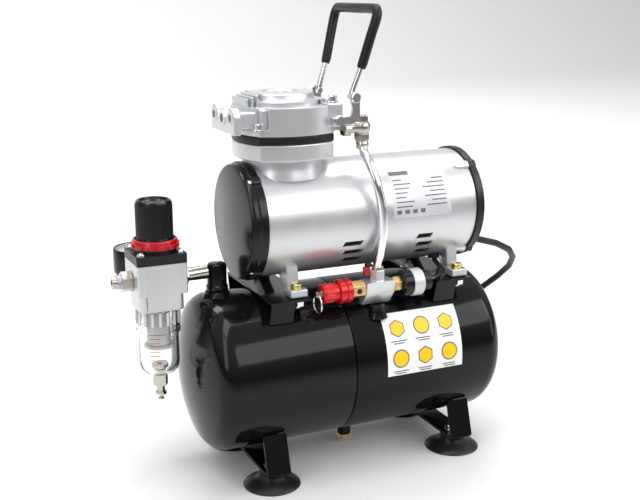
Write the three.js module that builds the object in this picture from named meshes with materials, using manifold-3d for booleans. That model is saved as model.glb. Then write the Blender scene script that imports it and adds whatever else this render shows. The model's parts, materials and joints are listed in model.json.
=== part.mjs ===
// Airbrush compressor: a piston pump and motor standing on a small air tank, with a filter-regulator.
// Millimetres, +Z up. X runs along the tank, the origin is on the floor under the middle of the machine.
import * as THREE from 'three';
import { mergeVertices } from 'three/addons/utils/BufferGeometryUtils.js';
import Module from 'manifold-3d';

const wasm = await Module();
wasm.setup();

// ---------------------------------------------------------------- driving dimensions
const GAP = 0.3;            // clearance between parts that touch
const ROUND = 36;           // segments round the tank and the motor
const MEDIUM = 20;
const SMALL = 12;

const TANK_R = 62.5;
const TANK_Z = 84;          // height of the tank's axis
const TANK_LEFT = -105;
const TANK_RIGHT = 159;
const TANK_SEAM = 13;
const TANK_WALL = 2;
const HEAD_CROWN_R = 150;   // radius of the dished tank end
const HEAD_KNUCKLE_R = 16;  // radius of its shoulder

const FOOT_X = [-51, 113];
const FOOT_Y = 43;
const CUP_R = 22.5;
const CUP_TOP = 12.1;
const STRAP_WIDTH = 19;
const STRAP_Z = 13.7;
const STRAP_T = 2.5;

const MOTOR_R = 44.2;
const MOTOR_Z = 202;
const MOTOR_WALL = 3.2;
const CASE_LEFT = -51;      // silver body of the pump half
const CASE_SEAM = 41;
const CASE_RIGHT = 129;
const COVER_LEFT = -64;
const COVER_RIGHT = 137;
const COVER_R = 44.6;
const COVER_RIM_R = 46;
const LUG_CIRCLE_R = 42.5;  // the end covers' screws
const LUG_R = 5.2;
const SHAFT_R = 5;
const SHAFT_BORE_R = 5.4;

const PUMP_X = -22;         // cylinder axis
const HEAD_REACH = 44.1;    // control point of each bulging side of the squared-off head
const HEAD_CORNER = 30.5;
const HEAD_SOFTENING = 3.4; // where the corner's curve starts
const BORE_R = 21;
const STROKE = 14;
const CRANK_FACE = PUMP_X + 5.2;       // face of the crank disc, beside the connecting rod
const NECK_R = 31;
const FLANGE_Z = 251;
const PLATE_Z = 264;        // valve plate
const COVER_Z = 269.8;      // head cover
const COVER_TOP = 290.5;
const DOME_TOP = 301;

const PAD_Z = 148.5;        // underside of the motor foot pads
const PAD_HEIGHT = 6.3;
const PAD_X = [-34.5, 107.5];
const PAD_WIDTH = 14.2;

const PIVOT = [22.7, 296];  // carrying handle pivot, x and z
const ROD_R = 2.4;
const GRIP_R = 3.9;

const MANIFOLD = [39, -44.5, 149.5];   // crossing of the manifold's ports
const REG_X = -125;                    // regulator axis
const PORT_Z = 164.7;                  // its inlet and outlet
const GAUGE = [-128, 40];
const GAUGE_R = 19.2;
const GAUGE_TOP = 180;
const ELBOW_X = -77.3;
const DRAIN_X = 32.8;

const CORD_R = 3;
const CORD_EXIT = [CASE_RIGHT + 8.3, 20, 163];
const COIL = [35, 96];
const COIL_R = 33;          // middle of the turns

// ---------------------------------------------------------------- materials
const finish = (color, roughness, metalness) => () =>
  new THREE.MeshStandardMaterial({ color, roughness, metalness });
const blackPaint = finish(0x111113, 0.18, 0.1);
const blackPlastic = finish(0x1a1a1c, 0.45, 0);
const rubber = finish(0x161616, 0.6, 0);
const castSilver = finish(0xb9bbc0, 0.38, 0.85);
const steel = finish(0x9a9ca0, 0.3, 1);
const chrome = finish(0xd8dadd, 0.12, 1);
const nickel = finish(0xb5b1a4, 0.25, 1);
const brass = finish(0xc9a25a, 0.28, 1);
const redMetal = finish(0xc81e20, 0.3, 0.4);
const redPlastic = finish(0xb3202c, 0.4, 0);
const clearPlastic = finish(0xe9eeee, 0.1, 0);
const whitePlastic = finish(0xe6e6e2, 0.5, 0);
const copper = finish(0x9c5a34, 0.4, 0.8);

// ---------------------------------------------------------------- solids
const toSolid = (geometry) => {
  const bare = geometry.clone();
  bare.deleteAttribute('normal');
  bare.deleteAttribute('uv');
  const merged = mergeVertices(bare, 1e-4);
  return new wasm.Manifold(new wasm.Mesh({
    numProp: 3,
    vertProperties: new Float32Array(merged.attributes.position.array),
    triVerts: new Uint32Array(merged.index.array),
  }));
};

const toGeometry = (solid) => {
  const mesh = solid.getMesh();
  const geometry = new THREE.BufferGeometry();
  geometry.setAttribute('position', new THREE.BufferAttribute(mesh.vertProperties, 3));
  geometry.setIndex(new THREE.BufferAttribute(mesh.triVerts, 1));
  geometry.computeVertexNormals();
  return geometry;
};

const join = (first, ...others) => toGeometry(
  others.reduce((sum, geometry) => sum.add(toSolid(geometry)), toSolid(first)));

const cut = (body, ...tools) => toGeometry(
  tools.reduce((rest, geometry) => rest.subtract(toSolid(geometry)), toSolid(body)));

// a turned piece about +Z from [radius, height] points
const turnZ = (profile, segments = MEDIUM) => {
  const geometry = new THREE.LatheGeometry(profile.map(([r, z]) => new THREE.Vector2(r, z)), segments);
  return geometry.rotateX(Math.PI / 2);
};

// a turned piece about +X from [radius, x] points
const turnX = (profile, segments = MEDIUM) => turnZ(profile, segments).rotateY(Math.PI / 2);

const discProfile = (r, from, to) => [[0, from], [r, from], [r, to], [0, to]];
const tubeProfile = (inner, outer, from, to) =>
  [[inner, from], [outer, from], [outer, to], [inner, to], [inner, from]];

const discZ = (r, from, to, x = 0, y = 0, segments = MEDIUM) =>
  turnZ(discProfile(r, from, to), segments).translate(x, y, 0);
const discX = (r, from, to, y = 0, z = 0, segments = MEDIUM) =>
  turnX(discProfile(r, from, to), segments).translate(0, y, z);
const discY = (r, from, to, x, z, segments = MEDIUM) =>
  turnZ(discProfile(r, from, to), segments).rotateX(-Math.PI / 2).translate(x, 0, z);
const tubeX = (inner, outer, from, to, y, z, segments = MEDIUM) =>
  turnX(tubeProfile(inner, outer, from, to), segments).translate(0, y, z);

const box = (low, high) => {
  const size = high.map((value, i) => value - low[i]);
  const middle = high.map((value, i) => (value + low[i]) / 2);
  return new THREE.BoxGeometry(...size).translate(...middle);
};

const flatShape = (points) => new THREE.Shape(points.map(([a, b]) => new THREE.Vector2(a, b)));
const extrudeZ = (shape, from, to, curveSegments = 6) =>
  new THREE.ExtrudeGeometry(shape, { depth: to - from, bevelEnabled: false, curveSegments })
    .translate(0, 0, from);

// an outline of [y, z] points pushed along X
const extrudeX = (points, from, to) =>
  extrudeZ(flatShape(points), from, to).rotateX(Math.PI / 2).rotateZ(Math.PI / 2);

const polygon = (radius, sides) => flatShape(Array.from({ length: sides }, (_, i) => {
  const angle = (2 * Math.PI * i) / sides;
  return [radius * Math.cos(angle), radius * Math.sin(angle)];
}));

const hexZ = (radius, from, to, x, y) => extrudeZ(polygon(radius, 6), from, to).translate(x, y, 0);
const hexX = (radius, from, to, y, z) =>
  extrudeZ(polygon(radius, 6), from, to).rotateY(Math.PI / 2).translate(0, y, z);

const curve = (points) => new THREE.CatmullRomCurve3(
  points.map((point) => new THREE.Vector3(...point)), false, 'centripetal');
const sweep = (points, shape, steps) => new THREE.ExtrudeGeometry(shape, {
  extrudePath: Array.isArray(points) ? curve(points) : points, steps, bevelEnabled: false,
});

const group = new THREE.Group();
const part = (name, geometry, material) => {
  const mesh = new THREE.Mesh(geometry, material());
  mesh.name = name;
  group.add(mesh);
};

// ---------------------------------------------------------------- tank
// half section of a dished tank end: [radius, distance in from the end], from the axis outwards
const tankEnd = (inset) => {
  const crown = HEAD_CROWN_R - inset;
  const knuckle = HEAD_KNUCKLE_R - inset;
  const meet = Math.asin((TANK_R - HEAD_KNUCKLE_R) / (HEAD_CROWN_R - HEAD_KNUCKLE_R));
  const depth = HEAD_CROWN_R - (HEAD_CROWN_R - HEAD_KNUCKLE_R) * Math.cos(meet);
  const points = [];
  for (let i = 0; i <= 3; i++) {
    const angle = (meet * i) / 3;
    points.push([crown * Math.sin(angle), HEAD_CROWN_R - crown * Math.cos(angle)]);
  }
  for (let i = 1; i <= 4; i++) {
    const angle = meet + ((Math.PI / 2 - meet) * i) / 4;
    points.push([TANK_R - HEAD_KNUCKLE_R + knuckle * Math.sin(angle), depth - knuckle * Math.cos(angle)]);
  }
  return points;
};

const leftTankHalf = () => {
  const lip = TANK_R - TANK_WALL - GAP;     // the joggled lip slides inside the right half
  const outer = tankEnd(0).map(([r, d]) => [r, TANK_LEFT + d]);
  const inner = tankEnd(TANK_WALL).map(([r, d]) => [r, TANK_LEFT + d]).reverse();
  const joggle = [
    [TANK_R, TANK_SEAM], [lip, TANK_SEAM + 1], [lip, TANK_SEAM + 8],
    [lip - TANK_WALL, TANK_SEAM + 8], [lip - TANK_WALL, TANK_SEAM - 1], [TANK_R - TANK_WALL, TANK_SEAM - 3],
  ];
  const shell = turnX([...outer, ...joggle, ...inner], ROUND).translate(0, 0, TANK_Z);
  const top = TANK_Z + TANK_R;
  return join(shell, discZ(9.5, top - 1.4, top + 2.7, ELBOW_X, 0, SMALL));
};

const rightTankHalf = () => {
  const edge = TANK_SEAM + 1.2;
  const outer = tankEnd(0).map(([r, d]) => [r, TANK_RIGHT - d]);
  const inner = tankEnd(TANK_WALL).map(([r, d]) => [r, TANK_RIGHT - d]).reverse();
  const profile = [...outer, [TANK_R, edge], [TANK_R - TANK_WALL, edge], ...inner].reverse();
  const shell = turnX(profile, ROUND).translate(0, 0, TANK_Z);
  const [x, y] = MANIFOLD;
  const bottom = TANK_Z - TANK_R;
  return join(shell,
    discZ(6.5, 118, 134.6, x, y, SMALL),
    discZ(7, bottom - 2.6, bottom + 1, DRAIN_X, 0, SMALL));
};

part('tank_left_half', leftTankHalf(), blackPaint);
part('tank_right_half', rightTankHalf(), blackPaint);

// ---------------------------------------------------------------- feet
// bent steel strap: level run between the feet, ends turned up and in to the tank
const strapProfile = () => {
  const bend = [57.2, STRAP_Z];
  const tip = [48.75, 43.1];
  const length = Math.hypot(tip[0] - bend[0], tip[1] - bend[1]);
  const along = [(tip[0] - bend[0]) / length, (tip[1] - bend[1]) / length];
  const half = STRAP_T / 2;
  const outward = [along[1] * half, -along[0] * half];
  const inside = bend[0] - half * (1 - along[0]) / along[1];
  const outside = bend[0] + half * (1 - along[0]) / along[1];
  const side = [
    [outside - 1.2, STRAP_Z - half], [outside + 0.5, STRAP_Z + 0.6],
    [tip[0] + outward[0], tip[1] + outward[1]], [tip[0] - outward[0], tip[1] - outward[1]],
    [inside, STRAP_Z + half],
  ];
  return [...side, ...side.map(([y, z]) => [-y, z]).reverse()];
};

const footCup = () => turnZ([
  [0, 3.9], [13.5, 3.2], [20, 1.1], [21.9, 0], [CUP_R, 0.5], [20, 3], [14, 5.6],
  [10.5, 8], [9, 10], [9, CUP_TOP], [0, CUP_TOP],
], MEDIUM);

FOOT_X.forEach((x, i) => {
  const side = ['left', 'right'][i];
  part(`leg_strap_${side}`, extrudeX(strapProfile(), x - STRAP_WIDTH / 2, x + STRAP_WIDTH / 2), blackPaint);
  part(`foot_cup_front_${side}`, footCup().translate(x, -FOOT_Y, 0), rubber);
  part(`foot_cup_back_${side}`, footCup().translate(x, FOOT_Y, 0), rubber);
});

// ---------------------------------------------------------------- tank drain
const drainTop = TANK_Z - TANK_R - 2.6 - GAP;
part('drain_valve_body', cut(
  join(hexZ(6.2, 9.6, drainTop, DRAIN_X, 0), discZ(5.2, 9, 10, DRAIN_X, 0, SMALL)),
  discZ(2.6, 8, 16, DRAIN_X, 0, SMALL)), blackPaint);
part('drain_screw', join(
  discZ(2.2, 6, 15, DRAIN_X, 0, SMALL),
  discZ(4.6, 4.6, 8.5, DRAIN_X, 0, SMALL),
  box([DRAIN_X - 7, -1.1, 5], [DRAIN_X + 7, 1.1, 8.3])), brass);

// ---------------------------------------------------------------- saddles that carry the motor
const saddle = (from) => {
  const legs = [[49, 148.2], [43.8, 130], [42.5, 130.4], [47.4, 146.8]];
  const arch = [...legs, ...legs.map(([y, z]) => [-y, z]).reverse()];
  return join(
    extrudeX(arch, from, from + STRAP_WIDTH),
    box([from + STRAP_WIDTH - 1, -49, 146.8], [from + 33, 49, 148.2]));
};
part('saddle_left', saddle(PAD_X[0] - 17), blackPaint);
part('saddle_right', saddle(PAD_X[1] - 17), blackPaint);

// ---------------------------------------------------------------- pump and motor body
// squared-off head outline: four bulging sides between rounded corners
const headOutline = (inset = 0) => {
  const shape = new THREE.Shape();
  const reach = HEAD_REACH - inset;
  const corner = HEAD_CORNER - inset;
  const soft = HEAD_SOFTENING;
  const side = (turn) => {
    const at = (a, b) => new THREE.Vector2(a, b).rotateAround(new THREE.Vector2(), turn);
    return [at(corner, -corner + soft), at(reach, 0), at(corner, corner - soft), at(corner, corner),
      at(corner - soft, corner)];
  };
  const first = side(0)[0];
  shape.moveTo(first.x, first.y);
  for (let i = 0; i < 4; i++) {
    const [, bulge, end, tip, next] = side((i * Math.PI) / 2);
    shape.quadraticCurveTo(bulge.x, bulge.y, end.x, end.y);
    shape.quadraticCurveTo(tip.x, tip.y, next.x, next.y);
  }
  return shape;
};
const headSlab = (from, to, inset = 0) => extrudeZ(headOutline(inset), from, to, 5).translate(PUMP_X, 0, 0);

// cast foot: a strut from the round body down to a flat pad, on the front or the back
const castFoot = (x, front) => {
  const outline = [
    [44, PAD_Z], [44, PAD_Z + PAD_HEIGHT], [37, PAD_Z + PAD_HEIGHT + 1], [31, 172],
    [12, 172], [12, 161], [29, PAD_Z],
  ].map(([y, z]) => [front ? -y : y, z]);
  return extrudeX(front ? outline : outline.reverse(), x, x + PAD_WIDTH);
};

// three cooling slots through the lower front of the body, each a little further along
const louvres = (x, width) => [0, 1, 2].map((i) => {
  const z = 183.5 - 7.5 * i;
  return box([x + 1.6 * i, -60, z], [x + 1.6 * i + width, -20, z + 3.4]);
});

const INNER_R = MOTOR_R - MOTOR_WALL;
const motorDisc = (r, from, to) => discX(r, from, to, 0, MOTOR_Z, ROUND);

const crankcase = () => cut(
  join(
    motorDisc(MOTOR_R, CASE_LEFT, CASE_SEAM - GAP),
    turnZ([[0, 225], [22, 225], [30, 238], [NECK_R, 244], [NECK_R, 250], [NECK_R + 2, FLANGE_Z + 0.5],
      [0, FLANGE_Z + 0.5]], MEDIUM).translate(PUMP_X, 0, 0),
    headSlab(FLANGE_Z, PLATE_Z - GAP),
    castFoot(PAD_X[0], true), castFoot(PAD_X[0], false)),
  motorDisc(INNER_R, CASE_LEFT - 1, 33),
  discX(11, 32, CASE_SEAM + 1, 0, MOTOR_Z, MEDIUM),
  discZ(BORE_R, 200, PLATE_Z + 1, PUMP_X, 0, MEDIUM),
  ...louvres(10.5, 17.5));
part('crankcase', crankcase(), castSilver);

part('motor_housing', cut(
  join(motorDisc(MOTOR_R, CASE_SEAM, CASE_RIGHT), castFoot(PAD_X[1], true), castFoot(PAD_X[1], false)),
  motorDisc(INNER_R, CASE_SEAM - 1, CASE_RIGHT + 1),
  ...louvres(75, 15)), castSilver);

// end covers with four screw lugs round the rim
const LUG_ANGLES = [38, 142, 218, 322];
const lugs = (from, to) => LUG_ANGLES.map((degrees) => {
  const angle = THREE.MathUtils.degToRad(degrees);
  const [y, z] = [-LUG_CIRCLE_R * Math.sin(angle), MOTOR_Z + LUG_CIRCLE_R * Math.cos(angle)];
  return discX(LUG_R, from, to, y, z, SMALL);
});
part('left_end_cover', cut(
  join(
    turnX([[0, COVER_LEFT], [COVER_R - 2, COVER_LEFT], [COVER_R, COVER_LEFT + 1.6], [COVER_R, COVER_LEFT + 6],
      [COVER_RIM_R, COVER_LEFT + 6.8], [COVER_RIM_R, CASE_LEFT - GAP], [0, CASE_LEFT - GAP]], ROUND)
      .translate(0, 0, MOTOR_Z),
    ...lugs(COVER_LEFT + 5.5, CASE_LEFT - GAP)),
  motorDisc(INNER_R, COVER_LEFT + 2.5, CASE_LEFT + 1),
  discZ(NECK_R + GAP, 230, 252, PUMP_X, 0, MEDIUM)), blackPlastic);
part('right_end_cover', cut(
  join(
    turnX([[0, CASE_RIGHT + GAP], [COVER_RIM_R, CASE_RIGHT + GAP], [COVER_RIM_R, CASE_RIGHT + 6],
      [COVER_RIM_R - 2.5, COVER_RIGHT], [0, COVER_RIGHT]], ROUND).translate(0, 0, MOTOR_Z),
    ...lugs(CASE_RIGHT + GAP, CASE_RIGHT + 6)),
  discX(10.3, CASE_RIGHT, CASE_RIGHT + 5, 0, MOTOR_Z, MEDIUM),
  box([COVER_RIGHT - 4, -7, 219], [COVER_RIGHT + 1, 7, 233])), blackPlastic);

// ---------------------------------------------------------------- inside the motor
part('stator', tubeX(30, INNER_R - 0.6, 48, 100, 0, MOTOR_Z), copper);
part('rotor', join(
  discX(29, 50, 98, 0, MOTOR_Z),
  discX(SHAFT_R, CRANK_FACE + 5 + GAP, CASE_RIGHT + 4, 0, MOTOR_Z, SMALL)), steel);
part('front_bearing', tubeX(SHAFT_BORE_R, 10.6, 33.4, 40, 0, MOTOR_Z), steel);
part('rear_bearing', tubeX(SHAFT_BORE_R, 10, CASE_RIGHT - 3, CASE_RIGHT + 4.6, 0, MOTOR_Z), steel);

const FAN_BLADES = 7;
const fan = () => {
  const blades = Array.from({ length: FAN_BLADES }, (_, i) =>
    box([106, -1, 10], [116, 1, 36]).rotateX((i * 2 * Math.PI) / FAN_BLADES).translate(0, 0, MOTOR_Z));
  return cut(
    join(discX(12, 105, 117, 0, MOTOR_Z), ...blades),
    discX(SHAFT_BORE_R, 100, 120, 0, MOTOR_Z, SMALL));
};
part('cooling_fan', fan(), blackPlastic);

const crank = () => join(
  discX(14, CRANK_FACE, CRANK_FACE + 8, 0, MOTOR_Z),
  extrudeX([[-20, -4], [-16, -20], [0, -26], [16, -20], [20, -4]].reverse(), CRANK_FACE, CRANK_FACE + 8)
    .translate(0, 0, MOTOR_Z),
  discX(4.6, CRANK_FACE - 0.7, CRANK_FACE + 1, 0, MOTOR_Z + STROKE / 2, SMALL));
part('crank_disc', cut(
  crank(),
  discX(SHAFT_BORE_R, CRANK_FACE + 5, CRANK_FACE + 9, 0, MOTOR_Z, SMALL)), steel);

const pistonTop = PLATE_Z - 1;
const bigEnd = MOTOR_Z + STROKE / 2;
part('piston_rod', cut(
  join(
    discZ(BORE_R - 0.5, pistonTop - 8, pistonTop, PUMP_X, 0),
    box([PUMP_X - 4, -6, bigEnd + 8], [PUMP_X + 4, 6, pistonTop - 7]),
    discX(13, PUMP_X - 4, PUMP_X + 4, 0, bigEnd)),
  discX(5, PUMP_X - 5, PUMP_X + 5, 0, bigEnd, SMALL)), steel);

// ---------------------------------------------------------------- pump head
part('valve_plate', headSlab(PLATE_Z, COVER_Z - GAP, -0.2), blackPlastic);

// intake flange on the left of the head: a plate with two rounded screw ears
const EARS_Y = [-19.8, 15.2];
const EAR_Z = 283.4;
const EAR_R = 7.6;
const FLANGE_X = [-70.8, -65.2];
const intakeFlange = () => {
  const ear = (y) => Array.from({ length: 9 }, (_, i) => {
    const angle = (Math.PI * i) / 8;
    return [y - EAR_R * Math.cos(angle), EAR_Z + EAR_R * Math.sin(angle)];
  });
  const [front, back] = EARS_Y;
  return extrudeX([
    [front - EAR_R, 271.5], ...ear(front), [front + EAR_R + 2, 279],
    [back - EAR_R - 2, 279], ...ear(back), [back + EAR_R, 271.5],
  ], ...FLANGE_X);
};

const headCover = () => cut(
  join(
    headSlab(COVER_Z, COVER_TOP),
    turnZ([
      [0, COVER_TOP - 1], [29, COVER_TOP - 1], [29, 296], [26, 300], [14, DOME_TOP], [0, DOME_TOP],
    ]).translate(PUMP_X - 3, 0, 0),
    intakeFlange(),
    ...EARS_Y.map((y) => box([-66, y - 5.7, 275.5], [-50, y + 5.8, 288])),
    box([-66, -14.5, 276], [-50, 10, 281.5]),
    discX(6, FLANGE_X[0] - 0.4, -50, -2, 282, SMALL),
    box([4, -33, 274.5], [14.5, -22, 291.5]),
    box([4, 22, 274.5], [14.5, 33, 291.5])),
  box([-60, -42, 275], [-45.5, -26, 292]),
  box([-60, 26, 275], [-45.5, 42, 292]),
  ...EARS_Y.map((y) => discX(3, FLANGE_X[0] - 1, -60, y, EAR_Z, SMALL)),
  discX(3.4, FLANGE_X[0] - 1, -58, -2, 282, SMALL));
part('cylinder_head', headCover(), castSilver);

// ---------------------------------------------------------------- carrying handle
// flat J-shaped bracket: bolted to the head, curving up to the eye that holds the bail
const bracket = (inner, outer) => {
  const [px, pz] = PIVOT;
  const shape = new THREE.Shape();
  shape.moveTo(4, 276.5);
  shape.lineTo(18, 276.5);
  shape.quadraticCurveTo(px + 4.2, 276.5, px + 4.2, 284);
  shape.lineTo(px + 4, pz);
  shape.absarc(px, pz, 4, 0, Math.PI, false);
  shape.lineTo(px - 2, 288);
  shape.quadraticCurveTo(px - 2, 282, 17, 282);
  shape.lineTo(4, 282);
  shape.closePath();
  const eye = new THREE.Path();
  eye.absarc(px, pz, ROD_R + GAP + 0.1, 0, 2 * Math.PI, true);
  shape.holes.push(eye);
  return extrudeZ(shape, inner, outer).rotateX(Math.PI / 2);
};
const BRACKET_Y = 33.4;
part('handle_bracket_front', bracket(BRACKET_Y, BRACKET_Y + 2.4), chrome);
part('handle_bracket_back', bracket(-BRACKET_Y - 2.4, -BRACKET_Y), chrome);

const BAIL_HALF = [
  [PIVOT[0], -29.5, PIVOT[1]], [24.2, -29.7, 302], [30.1, -31.6, 319], [35.7, -34.2, 340],
  [39.6, -35.9, 354], [40.8, -33.5, 359.6], [41, -28, 360.5],
];
const mirrored = (points) => points.map(([x, y, z]) => [x, -y, z]).reverse();
const BAIL_STEPS = 34;
const bailPoints = curve([...BAIL_HALF, [41, 0, 360.5], ...mirrored(BAIL_HALF)]).getSpacedPoints(BAIL_STEPS);
// the stretch of the bail that leaves out the same number of steps at both ends
const alongBail = (ends, shape) => sweep(
  new THREE.CatmullRomCurve3(bailPoints.slice(ends, BAIL_STEPS + 1 - ends), false, 'centripetal'),
  shape, BAIL_STEPS - 2 * ends);

const bailPin = (y) => discY(ROD_R, y, y + 10, ...PIVOT, SMALL);
part('carrying_bail', join(
  alongBail(0, polygon(ROD_R, 8)), bailPin(-37.5), bailPin(27.5)), chrome);

const grip = () => {
  const ring = (radius) => polygon(radius, 8).getPoints();
  const sleeve = new THREE.Shape(ring(GRIP_R));
  sleeve.holes.push(new THREE.Path(ring(ROD_R + 0.65).reverse()));
  return alongBail(3, sleeve);
};
part('handle_grip', grip(), rubber);

// ---------------------------------------------------------------- delivery line
const BANJO = [32, -29, 272.8];
part('delivery_elbow', join(
  discX(4.4, 15, 33, BANJO[1], BANJO[2], SMALL),
  new THREE.SphereGeometry(6.6, 12, 8).translate(...BANJO),
  discZ(5.4, 264, 272, BANJO[0], BANJO[1], SMALL)), nickel);
const HOSE = [
  [32, -29, 263.2], [32, -29.3, 260.5], [32, -33, 254], [32.8, -41, 246], [36, -48.2, 230],
  [39.3, -50.4, 212], [40.6, -50, 194], [39.8, -47, 177], [39, -44.6, 168], [39, -44.5, 164.4],
];
part('delivery_hose', sweep(HOSE, polygon(3.9, 8), 24), steel);

// ---------------------------------------------------------------- manifold on the tank
const [MX, MY, MZ] = MANIFOLD;
const BLOCK_HALF = 12.4;
const blockSide = [
  [MY - 7.5, MZ + 5.5], [MY - 6, MZ - 3.5], [MY + 3, MZ - 14.4], [MY + 7, MZ - 14.4], [MY + 7.5, MZ + 5.5],
];
part('manifold_block', join(
  extrudeX(blockSide, MX - BLOCK_HALF, MX + BLOCK_HALF),
  hexZ(6.2, MZ + 4, MZ + 14.4, MX, MY)), castSilver);
part('safety_valve_adaptor', cut(
  hexX(7.2, MX - 24.3, MX - BLOCK_HALF - GAP, MY, MZ),
  discX(3, MX - 25, MX - 18, MY, MZ, SMALL)), brass);

const valveFrom = MX - 48.6;
part('safety_valve_body', cut(
  join(discX(9.4, MX - 35, MX - 24.3 - GAP, MY, MZ), discX(7.5, valveFrom, MX - 34, MY, MZ)),
  discX(1.9, valveFrom - 1, MX - 24, MY, MZ, SMALL)), redMetal);
const stemTip = valveFrom - 4.4;
part('relief_stem', cut(
  join(
    discX(1.5, stemTip, MX - 20, MY, MZ, SMALL),
    box([stemTip, MY - 1.4, MZ - 2], [valveFrom - 1, MY + 1.4, MZ + 2])),
  discY(1.1, MY - 5, MY + 5, stemTip + 1.7, MZ, SMALL)), nickel);
const RING_R = 7.4;
part('pull_ring', turnX(Array.from({ length: 7 }, (_, i) => {
  const angle = (i * Math.PI) / 3;
  return [RING_R + 0.7 * Math.cos(angle), 0.7 * Math.sin(angle)];
}), MEDIUM).translate(stemTip + 1.7, MY, MZ - RING_R), chrome);

part('switch_adaptor', hexX(6.4, MX + BLOCK_HALF + GAP, MX + 20.2, MY, MZ), brass);
part('pressure_switch', turnX([
  [0, MX + 20.5], [10.6, MX + 20.5], [10.6, MX + 28], [11, MX + 28.4], [11, MX + 38.6], [8, MX + 39.4],
  [8, MX + 46], [0, MX + 46],
], MEDIUM).translate(0, MY, MZ), whitePlastic);
part('switch_lead', sweep([
  [MX + 46.5, MY, MZ], [MX + 48, MY, MZ], [93, -43.6, 151], [99, -39.5, 153], [102.6, -31.5, 155.5],
  [103, -24, 158.6], [103, -21.4, 161.2],
], polygon(1.7, 8), 14), rubber);

// ---------------------------------------------------------------- filter-regulator
const regDisc = (r, from, to, segments = MEDIUM) => discZ(r, from, to, REG_X, 0, segments);
const regTube = (inner, outer, from, to) =>
  turnZ(tubeProfile(inner, outer, from, to), MEDIUM).translate(REG_X, 0, 0);
const roundedSquare = (half, corner) => {
  const shape = new THREE.Shape();
  shape.moveTo(half - corner, -half);
  for (let i = 0; i < 4; i++) {
    const turn = ((i - 1) * Math.PI) / 2;
    const centre = new THREE.Vector2(half - corner, half - corner)
      .rotateAround(new THREE.Vector2(), (i * Math.PI) / 2 - Math.PI / 2);
    shape.absarc(centre.x, centre.y, corner, turn, turn + Math.PI / 2, false);
  }
  return shape;
};
const regBlock = (half, corner, from, to) =>
  extrudeZ(roundedSquare(half, corner), from, to, 3).translate(REG_X, 0, 0);

const BODY_BOTTOM = 143;
const BODY_TOP = 179.2;
// shallow bulge down the middle of the body's front face
const frontCheek = () => {
  const bulge = [-12.5, -8, -4, 0, 4, 8, 12.5].map((x) => [x, -20 + 0.9 * (x / 12.5) ** 2]);
  return extrudeZ(flatShape([[-12.5, -16], ...bulge, [12.5, -16]]), 145, 177.6).translate(REG_X, 0, 0);
};
part('regulator_body', cut(
  join(regBlock(19, 2, 156, BODY_TOP), regBlock(17, 6, BODY_BOTTOM, 157), frontCheek()),
  regDisc(13.5, BODY_BOTTOM - 1, 158), regDisc(13, 167.5, BODY_TOP + 1)), castSilver);
part('bonnet_plate', cut(
  join(regBlock(19.2, 2.5, BODY_TOP + GAP, 186.3), regDisc(16, 186, 189)),
  regDisc(6.5, 178, 190, SMALL)), blackPlastic);
part('locking_ring', turnZ([[15, 189.3], [17.6, 189.3], [18.4, 191.5], [18.4, 194.6], [17.4, 196], [15, 196],
  [15, 189.3]], MEDIUM).translate(REG_X, 0, 0), redPlastic);
part('pressure_knob', turnZ([[0, 216], [11, 216], [11, 190], [14, 190], [14, 223], [12.2, 225], [5, 225.4],
  [0, 224.6]], MEDIUM).translate(REG_X, 0, 0), blackPlastic);
part('adjusting_screw', join(regDisc(3, 170, 205, SMALL), hexZ(7, 204, 212, REG_X, 0)), brass);

const springCurve = () => {
  const turns = 3;
  const points = Array.from({ length: turns * 8 + 1 }, (_, i) => {
    const angle = (i * Math.PI) / 4;
    return [REG_X + 8.5 * Math.cos(angle), 8.5 * Math.sin(angle), 169 + (8.6 * i) / (turns * 8)];
  });
  return sweep(points, polygon(0.9, 6), turns * 10);
};
part('main_spring', springCurve(), steel);

part('bowl_collar', regTube(15.5, 16.9, 123.5, BODY_BOTTOM - GAP), clearPlastic);
part('filter_bowl', turnZ([
  [15.2, 142], [13.2, 142], [13.2, 97], [9.5, 92.6], [3.5, 91.6], [3.5, 89.4], [10.5, 90.2], [15.2, 96],
  [15.2, 142],
]).translate(REG_X, 0, 0), clearPlastic);
part('filter_element', regTube(5, 9, 114, 141), whitePlastic);
part('bowl_drain_body', cut(
  join(hexZ(5.8, 79.5, 88.6, REG_X, 0), regDisc(3.1, 72, 96, SMALL), regDisc(6.6, 93.4, 96.6, SMALL),
    regDisc(4.4, 72, 74.4, SMALL)),
  regDisc(1.7, 71, 97.5, SMALL)), nickel);
part('bowl_drain_pin', join(regDisc(1.2, 68.4, 94, SMALL), regDisc(2.4, 67.8, 69.2, SMALL)), steel);

const NIPPLE_END = ELBOW_X - 7.6 - GAP;
part('inlet_elbow', turnZ([[0, 149.5], [7.6, 149.5], [7.6, 170], [6.6, 171.2], [0, 171.2]], MEDIUM)
  .translate(ELBOW_X, 0, 0), blackPaint);
part('inlet_nipple', cut(
  join(discX(5.3, REG_X + 19 + GAP, NIPPLE_END, 0, PORT_Z, SMALL),
    discX(7.4, REG_X + 19 + GAP, REG_X + 22, 0, PORT_Z, SMALL)),
  discX(3, REG_X + 18, NIPPLE_END + 1, 0, PORT_Z, SMALL)), nickel);
const OUTLET_END = REG_X - 34;
part('outlet_nipple', cut(
  join(
    hexX(8, REG_X - 27, REG_X - 19 - GAP, 0, PORT_Z),
    discX(4.8, OUTLET_END, REG_X - 26, 0, PORT_Z, SMALL)),
  discX(2.5, OUTLET_END - 1, REG_X - 18, 0, PORT_Z, SMALL)), nickel);

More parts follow.
